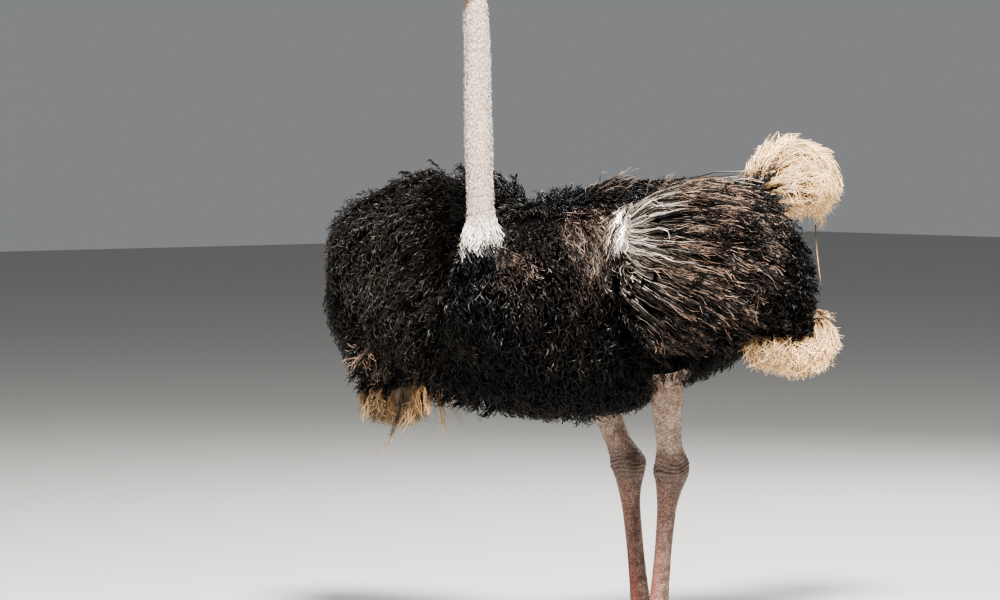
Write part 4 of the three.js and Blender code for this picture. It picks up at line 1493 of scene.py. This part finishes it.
wingRootsRight["size"] *= 1 - 0.40 * smooth(-0.77, -0.86, wingRootsRight["at"][:, 0] - shift.x)
endAcross = (wingRootsLeft["at"] - at(0, 0, 0)) @ wingEnd["way"]
wingRootsLeft = subset(wingRootsLeft, ~((endAcross > wingEnd["edge"]) & (wingRootsLeft["at"][:, 2] < wingEnd["top"])))
tell(f"roots: trunk {len(trunkRoots['at'])}, left wing {len(wingRootsLeft['at'])}, "
     f"right wing {len(wingRootsRight['at'])}, thighs {[len(t['at']) for t in thighRoots]}")


def growInParts(label, roots, home, material, cuts):
    # splits the roots by how far forward they are, so no piece grows too large
    ahead = shift.y - roots["at"][:, 1]
    edges = [-9, *cuts, 9]
    for i, (a, b) in enumerate(zip(edges, edges[1:])):
        part = subset(roots, (ahead >= a) & (ahead < b))
        growPlumes(f"{label}{i}" if cuts else label, part, home, material)


hollow = dressed("trunk", sampled("trunk", plumage["baseSpacing"], 112, lambda p, n: bump(p, at(0.04, 0.52, 1.23), 0.10) > 0.4),
                 113, (0.7, 0.9))
growInParts("plumes_trunk_", gathered([trunkRoots, hollow] + thighRoots), curlPlumes, blackPlumes,
            (-0.06, 0.18, 0.40))
growInParts("plumes_wing_left_", wingRootsLeft, curlPlumes, blackPlumes, (0.20,))
growInParts("plumes_wing_right_", wingRootsRight, curlPlumes, blackPlumes, (0.38,))

neckRoots = sampled("neck", plumage["baseSpacing"], 31, lambda p, n: (p[:, 2] < 1.205))
growPlumes("plumes_neck_base", dressed("neck", neckRoots, 32, swirl=0.25), woolPlumes, neckPlumes)
collarRoots = sampled("neck", plumage["collarSpacing"], 33, lambda p, n: (p[:, 2] > 1.165) & (p[:, 2] < 1.245))
collarRoots = dressed("neck", collarRoots, 34, (0.6, 1.35), swirl=0.3)
collarRoots["size"] *= 0.5 + 0.5 * smooth(1.243, 1.215, collarRoots["at"][:, 2])
growPlumes("plumes_collar", collarRoots, lancePlumes, neckPlumes)
downRoots = sampled("neck", plumage["downSpacing"], 35, lambda p, n: (p[:, 2] > 1.225) & (p[:, 2] < 1.85))
growPlumes("neck_down", dressed("neck", downRoots, 36, swirl=0.25), downPlumes, downPaint)

# the left wing's long plumes, combed out from the patch
sweepRoots = dressed("wingLeft", sampled("wingLeft", 0.0165, 51, lambda p, n: sweepSide(p, n) & (patchShare(p) < 0.3)
                                         & (ridges(p)[0] > -0.45)), 52, swirl=0.05)
sweepLong = 0.24 - 0.14 * smooth(0.08, 0.38, fromPatch(sweepRoots["at"]))
growLocks("sweep_wing_left", sweepRoots, guidesFrom(sweepRoots, leftWingFlow, sweepLong, 8, 0.014, 0.5, 0.06),
          blackPlumes, "wing_plumes", seed=53, strands=16, segments=6, width=0.0024, spread=0.011, deep=0.007,
          wave=0.0028, cycles=2.2, curl=0.008, follow="combed", light=0.38)


def besidePatch(count, seed, bearings, away):
    # roots on the skin along the patch's outer edge; bearings count up from straight out
    rng = np.random.default_rng(seed)
    rays = np.linspace(*bearings, count) + rng.normal(0, 0.03, count)
    far = rng.uniform(*away, count)
    starts = patchLeft + np.stack([0.008 + far * np.cos(rays), np.full(count, -0.05),
                                   (0.046 + far) * np.sin(rays)], 1)
    found = [skinTree.find_nearest(Vector(q)) for q in starts]
    roots = {"at": np.array([f[0] for f in found]), "outward": unit(np.array([f[1] for f in found])),
             "place": rng.random((count, 2))}
    dressed("wingLeft", roots, seed + 1, swirl=0.02)
    fan = np.stack([np.cos(rays) + 0.35, np.full(count, 0.2), np.sin(rays)], 1)
    roots["lie"] = tangent(fan, roots["outward"])
    return roots, rng


ringRoots, rng = besidePatch(96, 54, (-0.95, 0.95), (0.002, 0.030))
growLocks("long_plumes_wing_left", ringRoots,
          guidesFrom(ringRoots, leftWingFlow, rng.uniform(0.24, 0.42, 96), 10, 0.020, 0.55, 0.05),
          blackPlumes, "wing_plumes", seed=56, strands=20, segments=9, width=0.0023, spread=0.010, deep=0.007,
          wave=0.0025, cycles=2.4, curl=0.009, follow="combed", light=0.46)
quillRoots, rng = besidePatch(40, 74, (-0.62, 0.95), (0.0, 0.012))
growLocks("quills_wing_left", quillRoots,
          guidesFrom(quillRoots, leftWingFlow, rng.uniform(0.13, 0.37, 40), 9, 0.027, 0.55, 0.05),
          neckPlumes, "wing_plumes", seed=76, strands=3, segments=9, width=0.0018, spread=0.0030, deep=0.002,
          wave=0.0012, cycles=1.5, curl=0.002, early=0.5, follow="quills")


def onPatch(p, n):
    return (patchShare(p) > 0.25) & (p[:, 1] < patchLeft[1] + 0.1)


patchRoots = gathered([dressed(n, sampled(n, 0.0060, 57 + i, onPatch), 59 + i, (0.45, 0.9), swirl=0.7)
                       for i, n in enumerate(("wingLeft", "trunk"))])
tell(f"patch down {len(patchRoots['at'])}")
growPlumes("patch_down", patchRoots, lancePlumes, neckPlumes)

# fine plumes combed down the shoulder before the patch
shoulderRoots = gathered([dressed(n, sampled(n, 0.0150, 77 + i, lambda p, n: onShoulder(p) & (patchShare(p) < 0.3)
                                             & (p[:, 0] < patchLeft[0] + 0.03)), 79 + i, swirl=0.16)
                          for i, n in enumerate(("wingLeft", "trunk"))])
shoulderLong = np.random.default_rng(81).uniform(0.08, 0.14, len(shoulderRoots["at"]))
growLocks("shoulder_plumes_left", shoulderRoots, guidesFrom(shoulderRoots, downFlow, shoulderLong, 6, 0.020, 0.4),
          blackPlumes, "wing_plumes", seed=82, strands=18, segments=6, width=0.0024, spread=0.012, deep=0.012,
          wave=0.0040, cycles=2.6, curl=0.012, early=0.45, follow="wingLeft", light=0.16)

# cream tail and flight plumes
paleParts = {
    "tail": {"spacing": 0.0180, "long": (0.08, 0.15), "flow": tailFlow},
    "flightLeft": {"spacing": 0.0155, "long": (0.06, 0.12), "flow": flightFlow},
    "flightRight": {"spacing": 0.027, "long": (0.05, 0.12), "flow": flightFlow},
}
paleNames = {"tail": "plumes_tail", "flightLeft": "plumes_flight_left", "flightRight": "plumes_flight_right"}
for i, (name, part) in enumerate(paleParts.items()):
    roots = dressed(name, sampled(name, part["spacing"], 61 + i), 64 + i, swirl=0.24)
    if name == "tail":
        growPlumes("plumes_tail_base", subset(roots, roots["pale"] <= 0.4), curlPlumes, blackPlumes)
    if name == "flightLeft":
        facing = roots["outward"] @ wingEnd["way"]
        overhang = (roots["at"][:, 2] > 0.945) & (facing < -0.40)
        hanging = subset(roots, overhang)
        hanging["pale"] *= 0
        growPlumes("plumes_wing_left_tip", hanging, curlPlumes, blackPlumes, 0.85)
        roots = subset(roots, ~overhang)
        # the cream plumes start up behind the wing's end
        upper = sampled("wingLeft", 0.0125, 109, lambda p, n: (p[:, 2] < wingEnd["top"]) & (p[:, 2] > 0.93)
                        & ((p - at(0, 0, 0)) @ wingEnd["way"] > wingEnd["edge"]))
        upper = dressed("flightLeft", upper, 110, swirl=0.24)
        roots = gathered([roots, upper])
    roots = subset(roots, roots["pale"] > (0.4 if name == "tail" else 0.1))
    long = np.random.default_rng(67 + i).uniform(*part["long"], len(roots["at"]))
    growLocks(paleNames[name], roots, guidesFrom(roots, part["flow"], long, 6, 0.022), creamPlumes,
              "pale_plumes", seed=70 + i, strands=25, segments=6, width=0.0020, spread=0.013, deep=0.017,
              wave=0.0055, cycles=2.3, curl=0.020, early=0.4, follow=name)

# hairs and down of the head: bristles on the crown and nape, lashes, a tuft in each ear
bristle = {"length": 0.0015, "barbs": 3, "barb": 0.0125, "width": 0.00055, "spread": 0.55, "rise": 0.0, "bow": 0.0,
           "curl": 0.35, "wave": 0.12, "segments": 4}
bristlePlumes = plumeKinds("bristle", 6, 500, **bristle)
nape = headAt(-0.02, 0.012)


def headSteps(p):
    # how far forward, up and out of the middle of the eyes, along the head
    rel = p - headAt(0)
    return rel @ (headAt(1) - headAt(0)), rel @ (headAt(0, 1) - headAt(0)), np.abs(rel[:, 0])


def featheredHead(p, n):
    forward, up, out = headSteps(p)
    aroundEye = np.hypot(forward - 0.006, up - 0.005) < 0.0235
    ear = np.hypot(forward + 0.033, up + 0.008) < 0.0065
    return ~(aroundEye & (out > 0.018)) & ~(ear & (out > 0.02)) & (forward < 0.036 - 0.4 * np.clip(-up, 0, 1))


def bristled(p, n):
    forward, up, out = headSteps(p)
    return featheredHead(p, n) & (up > 0.012 + 0.4 * forward) & (forward < 0.030)


headDown = dressed("head", sampled("head", plumage["headSpacing"], 91, featheredHead), 92, (0.6, 1.1), swirl=0.3)
headDown["pale"][:] = 0.75
growPlumes("head_down", headDown, downPlumes, downPaint, 0.85)
bristles = dressed("head", sampled("head", plumage["bristleSpacing"], 93, bristled), 94, (0.6, 1.15), swirl=0.35)
bristles["pale"][:] = 0
bristles["warm"][:] = 0.35
growPlumes("head_bristles", bristles, bristlePlumes, neckPlumes)


def headHairs(name, starts, ways, curve, long, width, seed):
    # single tapered hairs: they leave along ways and bend along curve
    rng = np.random.default_rng(seed)
    count = len(starts)
    u = np.linspace(0, 1, 6)
    long = long * rng.uniform(0.75, 1.15, count)
    paths = (starts[:, None] + ways[:, None] * (u * long[:, None])[..., None]
             + curve[:, None] * (u ** 2 * long[:, None])[..., None])
    widths = width * (1 - 0.8 * u ** 1.5)[None] * np.ones((count, 1))
    along = np.broadcast_to(u, (count, 6))
    local = np.stack([np.full((count, 6), 0.5), along], -1)
    facing = unit(starts - headAt(-0.02))[:, None] * np.ones((1, 6, 1))
    mesh = ribbonMesh(name, paths, widths, facing, along, local)
    for key in ("localX", "localY"):
        mesh.attributes.remove(mesh.attributes[key])
    for key, value in (("pale", 0.0), ("warm", 0.12), ("vary", 0.3)):
        mesh.attributes.new(key, "FLOAT", "POINT").data.foreach_set("value", np.full(count * 12, value, np.float32))
    mesh.materials.append(neckPlumes)
    piece = bpy.data.objects.new(name, mesh)
    bpy.context.scene.collection.objects.link(piece)
    place = np.stack([np.arctan2(starts[:, 0] - shift.x, -(starts[:, 1] - headAt(0)[1])) / (2 * np.pi) + 0.5,
                      (starts[:, 2] - headCo[:, 2].min()) / np.ptp(headCo[:, 2])], 1)
    return finishCoat(piece, np.repeat(place, 12, 0), np.repeat(local.reshape(-1, 2), 2, 0))


def lidEdge(sign, angles):
    # places and outward ways along the rim of the lids
    centre = headAt(0.006, 0.005, sign * head["eyeOut"])
    out, ahead, up = eyeFrame(sign)
    radial = np.cos(angles)[:, None] * ahead + np.sin(angles)[:, None] * up
    edge = np.hypot(0.0188 * np.cos(angles), head["lidGap"] * np.sin(angles))
    polar = np.arcsin(edge / (head["eyeRadius"] + 0.0012))[:, None]
    way = np.cos(polar) * out + np.sin(polar) * radial
    return centre + way * (head["eyeRadius"] + 0.0030), radial, out, up


rng = np.random.default_rng(95)
lashes = []
for low, high, count, long, rise in ((0.12, math.pi - 0.12, 46, 0.0150, 0.75), (math.pi + 0.5, 2 * math.pi - 0.5, 20, 0.0050, -0.3)):
    for sign in (1, -1):
        angles = np.linspace(low, high, count) + rng.normal(0, 0.015, count)
        root, radial, out, up = lidEdge(sign, angles)
        ways = unit(radial * 0.55 + out * 0.85 + rng.normal(0, 0.05, (count, 3)))
        lashes.append((root, ways, np.broadcast_to(up * rise, (count, 3)) * 0.8, np.full(count, long)))
headHairs("lashes", *(np.concatenate([part[k] for part in lashes]) for k in range(4)), 0.00075, 96)
ears = []
for sign in (1, -1):
    spin = rng.uniform(0, 2 * np.pi, 60)
    root = headAt(-0.033, -0.008, sign * 0.0335) + np.stack(
        [np.full(60, sign * 0.0005), -0.0055 * np.cos(spin), 0.0060 * np.sin(spin)], 1)
    ways = unit(np.stack([np.full(60, sign * 0.6), 0.55 + 0.2 * np.cos(spin), 0.35 * np.sin(spin)], 1))
    ears.append((root, ways, np.broadcast_to(np.array((0, 0.5, -0.3)), (60, 3)), np.full(60, 0.0060)))
headHairs("ear_bristles", *(np.concatenate([part[k] for part in ears]) for k in range(4)), 0.00045, 97)

# single wisps that stand clear of the coat
wisp = {"strands": 3, "segments": 9, "width": 0.0022, "spread": 0.005, "deep": 0.003, "wave": 0.003, "cycles": 1.6,
        "curl": 0.006, "early": 0.7}


def wispGuides(starts, ways, bend, long, steps=9):
    u = np.linspace(0, 1, steps + 1)[:, None]
    line = starts[:, None] + ways[:, None] * (u * long[:, None, None]) + bend[:, None] * (u ** 2 * long[:, None, None])
    return line, np.broadcast_to(np.array((0.3, -0.9, 0.3)), line.shape)


def wisps(name, starts, ways, bend, long, pale, warm, seed, material, slot, **shape):
    count = len(starts)
    rng = np.random.default_rng(seed)
    roots = {"at": starts, "place": rng.random((count, 2)), "pale": np.full(count, pale), "warm": np.full(count, warm),
             "vary": rng.random(count)}
    growLocks(name, roots, wispGuides(starts, ways, bend, long), material, slot, seed=seed + 1, **{**wisp, **shape})


def onSkin(points):
    found = [skinTree.find_nearest(Vector(q)) for q in points]
    return np.array([f[0] for f in found])


rng = np.random.default_rng(98)
backStarts = onSkin(np.array([at(rng.uniform(0.02, 0.26), rng.uniform(0.22, 0.36), 1.40) for _ in range(26)]))
wisps("back_wisps", backStarts, unit(rng.normal(0, 0.25, (26, 3)) + (0.15, 0.25, 1.0)),
      np.broadcast_to(np.array((0.2, 0.5, -0.25)), (26, 3)), rng.uniform(0.06, 0.115, 26), 0.0, 0.5, 99, blackPlumes,
      "body_plumage")
arcStarts = onSkin(np.array([at(rng.uniform(0.30, 0.42), rng.uniform(0.22, 0.30), 1.34) for _ in range(12)]))
wisps("arc_wisps", arcStarts, unit(rng.normal(0, 0.10, (12, 3)) + (0.55, 0.75, 0.42)),
      np.broadcast_to(np.array((0.1, 0.1, -0.42)), (12, 3)), rng.uniform(0.14, 0.24, 12), 0.03, 0.7, 101, blackPlumes,
      "wing_plumes", width=0.0026, spread=0.004)
# the fringe under the right wing is tan: partly its own tan, partly painted shade
fringe = np.array([at(*q) for q in zip(rng.uniform(-0.84, -0.50, 34), rng.uniform(0.36, 0.43, 34), rng.uniform(0.72, 0.80, 34))])
wisps("fringe_wisps", fringe, unit(rng.normal(0, 0.14, (34, 3)) + (0.0, 0.0, -1.0)),
      rng.normal(0, 0.2, (34, 3)), rng.uniform(0.05, 0.14, 34), 0.22, 0.9, 103, creamPlumes, "pale_plumes",
      strands=7, spread=0.010, wave=0.006)
strand = np.array([at(-0.572, 0.455, 0.74)])
wisps("dark_strand", strand, np.array([(-0.06, -0.05, -1.0)]), np.array([(-0.20, -0.10, 0.05)]), np.array([0.215]),
      0.02, 0.8, 105, blackPlumes, "pale_plumes", strands=22, spread=0.006, deep=0.005, wave=0.0035, cycles=3.0)
tuft = np.array([at(*q) for q in zip(rng.uniform(-0.705, -0.675, 9), np.full(9, 0.475), rng.uniform(0.85, 0.872, 9))])
wisps("brown_tuft", tuft, unit(rng.normal(0, 0.2, (9, 3)) + (-0.1, -0.4, -0.9)), rng.normal(0, 0.4, (9, 3)) + (-0.3, 0, 0),
      rng.uniform(0.04, 0.075, 9), 0.0, 1.0, 111, blackPlumes, "wing_plumes", strands=6, spread=0.005, wave=0.005,
      cycles=2.5, curl=0.012)
# a brush of brown plumes beside the neck's foot
turns = rng.uniform(0.1, 1.25, 26)
brush = onSkin(np.array([at(*q) for q in zip(rng.uniform(0.055, 0.085, 26), np.full(26, 0.64), rng.uniform(1.150, 1.178, 26))]))
brushWays = np.stack([0.64 * np.cos(turns) + 0.28, 0.77 * np.cos(turns) - 0.28, -np.sin(turns)], 1)
wisps("neck_brush", brush, unit(brushWays), np.broadcast_to(np.array((0.0, 0.0, -0.35)), (26, 3)),
      rng.uniform(0.085, 0.125, 26), 0.004, 1.0, 113, blackPlumes, "body_plumage", strands=8, spread=0.006, wave=0.003,
      cycles=2.0, curl=0.008, light=0.5)
wisps("bare_quill", np.array([at(0.03, -0.60, 1.20)]), np.array([(0.0, 0.05, -1.0)]), np.array([(-0.03, 0.12, 0.0)]),
      np.array([0.185]), 1.0, 0.0, 107, creamPlumes, "pale_plumes", strands=3, spread=0.0006, deep=0.0006, wave=0.0,
      cycles=1.0, width=0.0034, curl=0.0)

for home in (curlPlumes, woolPlumes, lancePlumes, downPlumes, bristlePlumes):
    for piece in list(home.objects):
        remove(piece)
    bpy.data.collections.remove(home)
tell(f"coat {sum(2 * len(p.data.polygons) for p in coatPieces)} triangles")

bill = {
    "gape": -0.0125,  # height of the closed edges
    "upper": [(0.028, 0.0275, 0.0165), (0.044, 0.0290, 0.0150), (0.062, 0.0290, 0.0126), (0.096, 0.0256, 0.0090),
              (0.126, 0.0198, 0.0076), (0.146, 0.0134, 0.0062), (0.156, 0.0062, 0.0040)],
    "lower": [(0.028, 0.0262, 0.0125), (0.062, 0.0272, 0.0098), (0.096, 0.0240, 0.0072), (0.126, 0.0184, 0.0054),
              (0.143, 0.0122, 0.0040), (0.151, 0.0056, 0.0025)],
    "closing": 0.0012,
}


def nostrilShare(forward, out):
    return np.exp(-((forward - 0.080) / 0.0085) ** 2 - ((out - 0.0158) / 0.0022) ** 2)


def billRelief(upper):
    def relief(rings):
        p = rings.reshape(-1, 3)
        forward, high, out = headSteps(p)
        top = high - bill["gape"] if upper else bill["gape"] - high
        face = smooth(0.0018, 0.0045, top)
        ridge = 0.0017 * np.exp(-(out / 0.0065) ** 2) * smooth(0.045, 0.060, forward) * smooth(0.140, 0.118, forward)
        grooveOut = 0.0125 - 0.05 * np.clip(forward - 0.06, 0, 1)
        groove = -0.0013 * np.exp(-((out - grooveOut) / 0.0021) ** 2) * smooth(0.050, 0.062, forward) \
            * smooth(0.126, 0.112, forward)
        edge = 0.0006 * np.exp(-((top - 0.0012) / 0.0012) ** 2)
        grain = 0.00025 * noiseAt(p, 260, 3) + 0.0004 * noiseAt(p, 70, 5)
        if not upper:
            return face * (groove + 0.6 * ridge) + edge + grain
        nostril = -0.0048 * nostrilShare(forward, out)
        rim = 0.0010 * np.exp(-((forward - 0.080) / 0.0125) ** 2 - ((out - 0.0195) / 0.0018) ** 2)
        nail = 0.0013 * smooth(0.127, 0.131, forward) - 0.0011 * np.exp(-((forward - 0.1265) / 0.0013) ** 2)
        return face * (ridge + groove + nostril + rim + nail) + edge + grain
    return relief


def hornPaint(name, light, dark, deep, rough):
    # darker towards the tip, and on the bill painted shade in the nostril pits
    paint, tree, shader, place = newPaint(name)
    cloud = noiseNode(tree, place, 60, 4)
    streak = tree.nodes.new("ShaderNodeMapping")
    streak.inputs["Scale"].default_value = (1, 0.15, 1)
    tree.links.new(place, streak.inputs["Vector"])
    lines = noiseNode(tree, streak.outputs[0], 420, 3)
    colour = mixNode(tree, rangeNode(tree, cloud, 0.3, 0.7), light, dark)
    colour = mixNode(tree, rangeNode(tree, attributeNode(tree, "wear"), 0.35, 1.0), colour, deep)
    colour = mixNode(tree, rangeNode(tree, lines, 0.5, 0.75, (0, 0.35)), colour, deep)
    tree.links.new(colour, shader.inputs["Base Color"])
    shader.inputs["Roughness"].default_value = rough
    shader.inputs["Specular IOR Level"].default_value = 0.45
    under = bumpNode(tree, cloud, 0.0008, 0.5)
    tree.links.new(bumpNode(tree, lines, 0.0003, 0.7, under), shader.inputs["Normal"])
    return paint


def wornAndShaded(piece, wear, paint, node):
    mesh = piece.data
    mesh.attributes.new("wear", "FLOAT", "POINT").data.foreach_set("value", np.clip(wear, 0, 1).astype(np.float32))
    mesh.materials.append(paint)
    mesh.shade_smooth()
    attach(piece, "root")
    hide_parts(node)


billHorn = hornPaint("billHorn", (0.37, 0.240, 0.185), (0.25, 0.155, 0.118), (0.085, 0.054, 0.043), 0.45)
for half, sign in (("upper", 1), ("lower", -1)):
    stations = [(headAt(f, bill["gape"] + sign * bill["closing"]),
                 (wide, tall if sign > 0 else 0.0010, 0.0010 if sign > 0 else tall)) for f, wide, tall in bill[half]]
    piece = loftObject("bill_" + half + "_horn", stations, relief=billRelief(sign > 0), around=120,
                       ts=np.linspace(0, 1, 150), ends=(0.05, 0.14), boxy=2.1)
    forward, high, out = headSteps(coords(piece.data))
    wear = smooth(0.10, 0.15, forward)
    if half == "upper":
        # painted shade in the nostril pits
        wear = wear + 1.7 * nostrilShare(forward, out + 0.0018) * (high > bill["gape"] + 0.003)
    wornAndShaded(piece, wear, billHorn, "bill_" + half)


def eyePaint():
    # "polar" is the angle from the middle of the pupil
    paint, tree, shader, place = newPaint("eye")
    polar = attributeNode(tree, "polar")
    fibres = noiseNode(tree, place, 520, 4)
    iris = mixNode(tree, rangeNode(tree, fibres, 0.30, 0.70), (0.016, 0.008, 0.005), (0.030, 0.014, 0.007))
    colour = mixNode(tree, rangeNode(tree, polar, 0.41, 0.45), (0.002, 0.002, 0.002), iris)
    colour = mixNode(tree, rangeNode(tree, polar, 0.66, 0.86), colour, (0.008, 0.005, 0.004))
    colour = mixNode(tree, rangeNode(tree, polar, 0.90, 1.00), colour, (0.36, 0.27, 0.22))
    tree.links.new(colour, shader.inputs["Base Color"])
    shader.inputs["Roughness"].default_value = 0.10
    shader.inputs["Coat Weight"].default_value = 1.0
    shader.inputs["Coat Roughness"].default_value = 0.03
    return paint


eyeGlass = eyePaint()
for sign, name in ((1, "left"), (-1, "right")):
    out, ahead, up = eyeFrame(sign)
    ball = ballObject("eyeball_" + name, np.zeros(3), np.full(3, head["eyeRadius"] - 0.0003), detail=48)
    local = coords(ball.data)
    polar = np.arccos(np.clip(unit(local)[:, 2], -1, 1))
    local = local + unit(local) * (0.0013 * np.exp(-(polar / 0.55) ** 4))[:, None]
    setCoords(ball.data, local @ np.stack([ahead, up, out]) + headAt(0.006, 0.005, sign * head["eyeOut"]))
    if signedVolume(ball.data) < 0:
        ball.data.flip_normals()
    ball.data.attributes.new("polar", "FLOAT", "POINT").data.foreach_set("value", polar.astype(np.float32))
    ball.data.materials.append(eyeGlass)
    ball.data.shade_smooth()
    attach(ball, "root")
    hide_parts("eye_" + name)

clawHorn = hornPaint("clawHorn", (0.115, 0.090, 0.078), (0.060, 0.047, 0.042), (0.022, 0.018, 0.016), 0.38)


def clawRelief(rings):
    # growth lines and a worn, chipped edge
    p = rings.reshape(-1, 3)
    share = np.repeat(np.arange(len(rings)) / len(rings), rings.shape[1])
    return (0.00035 * np.sin(share * 70 + 2 * noiseAt(p, 90, 2)) + 0.0006 * noiseAt(p, 120, 6)) * smooth(1.0, 0.8, share)


for side in ("left", "right"):
    for kind in ("Big", "Small"):
        piece = loftObject(f"claw_{kind.lower()}_{side}_horn", toeStations(side, "claw" + kind), relief=clawRelief,
                           around=36, ts=np.linspace(0, 1, 60), ends=(0.10, 0.30), boxy=2.0)
        flattened(piece)
        reach = np.linalg.norm(coords(piece.data)[:, :2] - at(*legs[side]["foot"])[:2], axis=1)
        wornAndShaded(piece, (reach - reach.min()) / np.ptp(reach), clawHorn, f"claw_{kind.lower()}_{side}")
tell("bill, eyes and claws")

floorMesh = bpy.data.meshes.new("floor")
floorMesh.from_pydata([(-30, -30, 0), (30, -30, 0), (30, 30, 0), (-30, 30, 0)], [], [(0, 1, 2, 3)])
floor = bpy.data.objects.new("floor", floorMesh)
bpy.context.scene.collection.objects.link(floor)
floorPaint = bpy.data.materials.new("floorPaint")
floorPaint.use_nodes = True
floorPaint.node_tree.nodes["Principled BSDF"].inputs["Base Color"].default_value = (0.55, 0.545, 0.53, 1)
floorPaint.node_tree.nodes["Principled BSDF"].inputs["Roughness"].default_value = 0.9
floorMesh.materials.append(floorPaint)

world = bpy.data.worlds.new("studio")
world.use_nodes = True
world.node_tree.nodes["Background"].inputs["Color"].default_value = (0.86, 0.88, 0.90, 1)
world.node_tree.nodes["Background"].inputs["Strength"].default_value = 0.25
bpy.context.scene.world = world
bpy.context.scene.view_settings.look = "AgX - High Contrast"


def softLight(name, place, aim, size, power, tint=(1, 1, 1)):
    lamp = bpy.data.lights.new(name, "AREA")
    lamp.shape = "DISK"
    lamp.size = size
    lamp.energy = power
    lamp.color = tint
    holder = bpy.data.objects.new(name, lamp)
    holder.location = place
    holder.rotation_euler = (Vector(aim) - Vector(place)).to_track_quat("-Z", "Y").to_euler()
    bpy.context.scene.collection.objects.link(holder)


softLight("key", (3.0, -2.6, 6.2), (0, 0, 1.0), 1.5, 1400, (1, 0.97, 0.92))
softLight("fill", (-3.5, -4.0, 2.6), (0, 0, 1.0), 3.0, 35)
softLight("rim", (-2.5, 4.5, 4.5), (0, 0, 1.1), 2.0, 260)

camera = bpy.data.cameras.new("camera")
camera.sensor_width = 36
camera.lens = 140.6
cameraHolder = bpy.data.objects.new("camera", camera)
cameraHolder.location = Vector(at(8.173, 7.359, 1.5))
aim = Vector(at(-0.292, 0.3244, 0.996))
cameraHolder.rotation_euler = (aim - cameraHolder.location).to_track_quat("-Z", "Y").to_euler()
bpy.context.scene.collection.objects.link(cameraHolder)
bpy.context.scene.camera = cameraHolder
tell("light and camera")
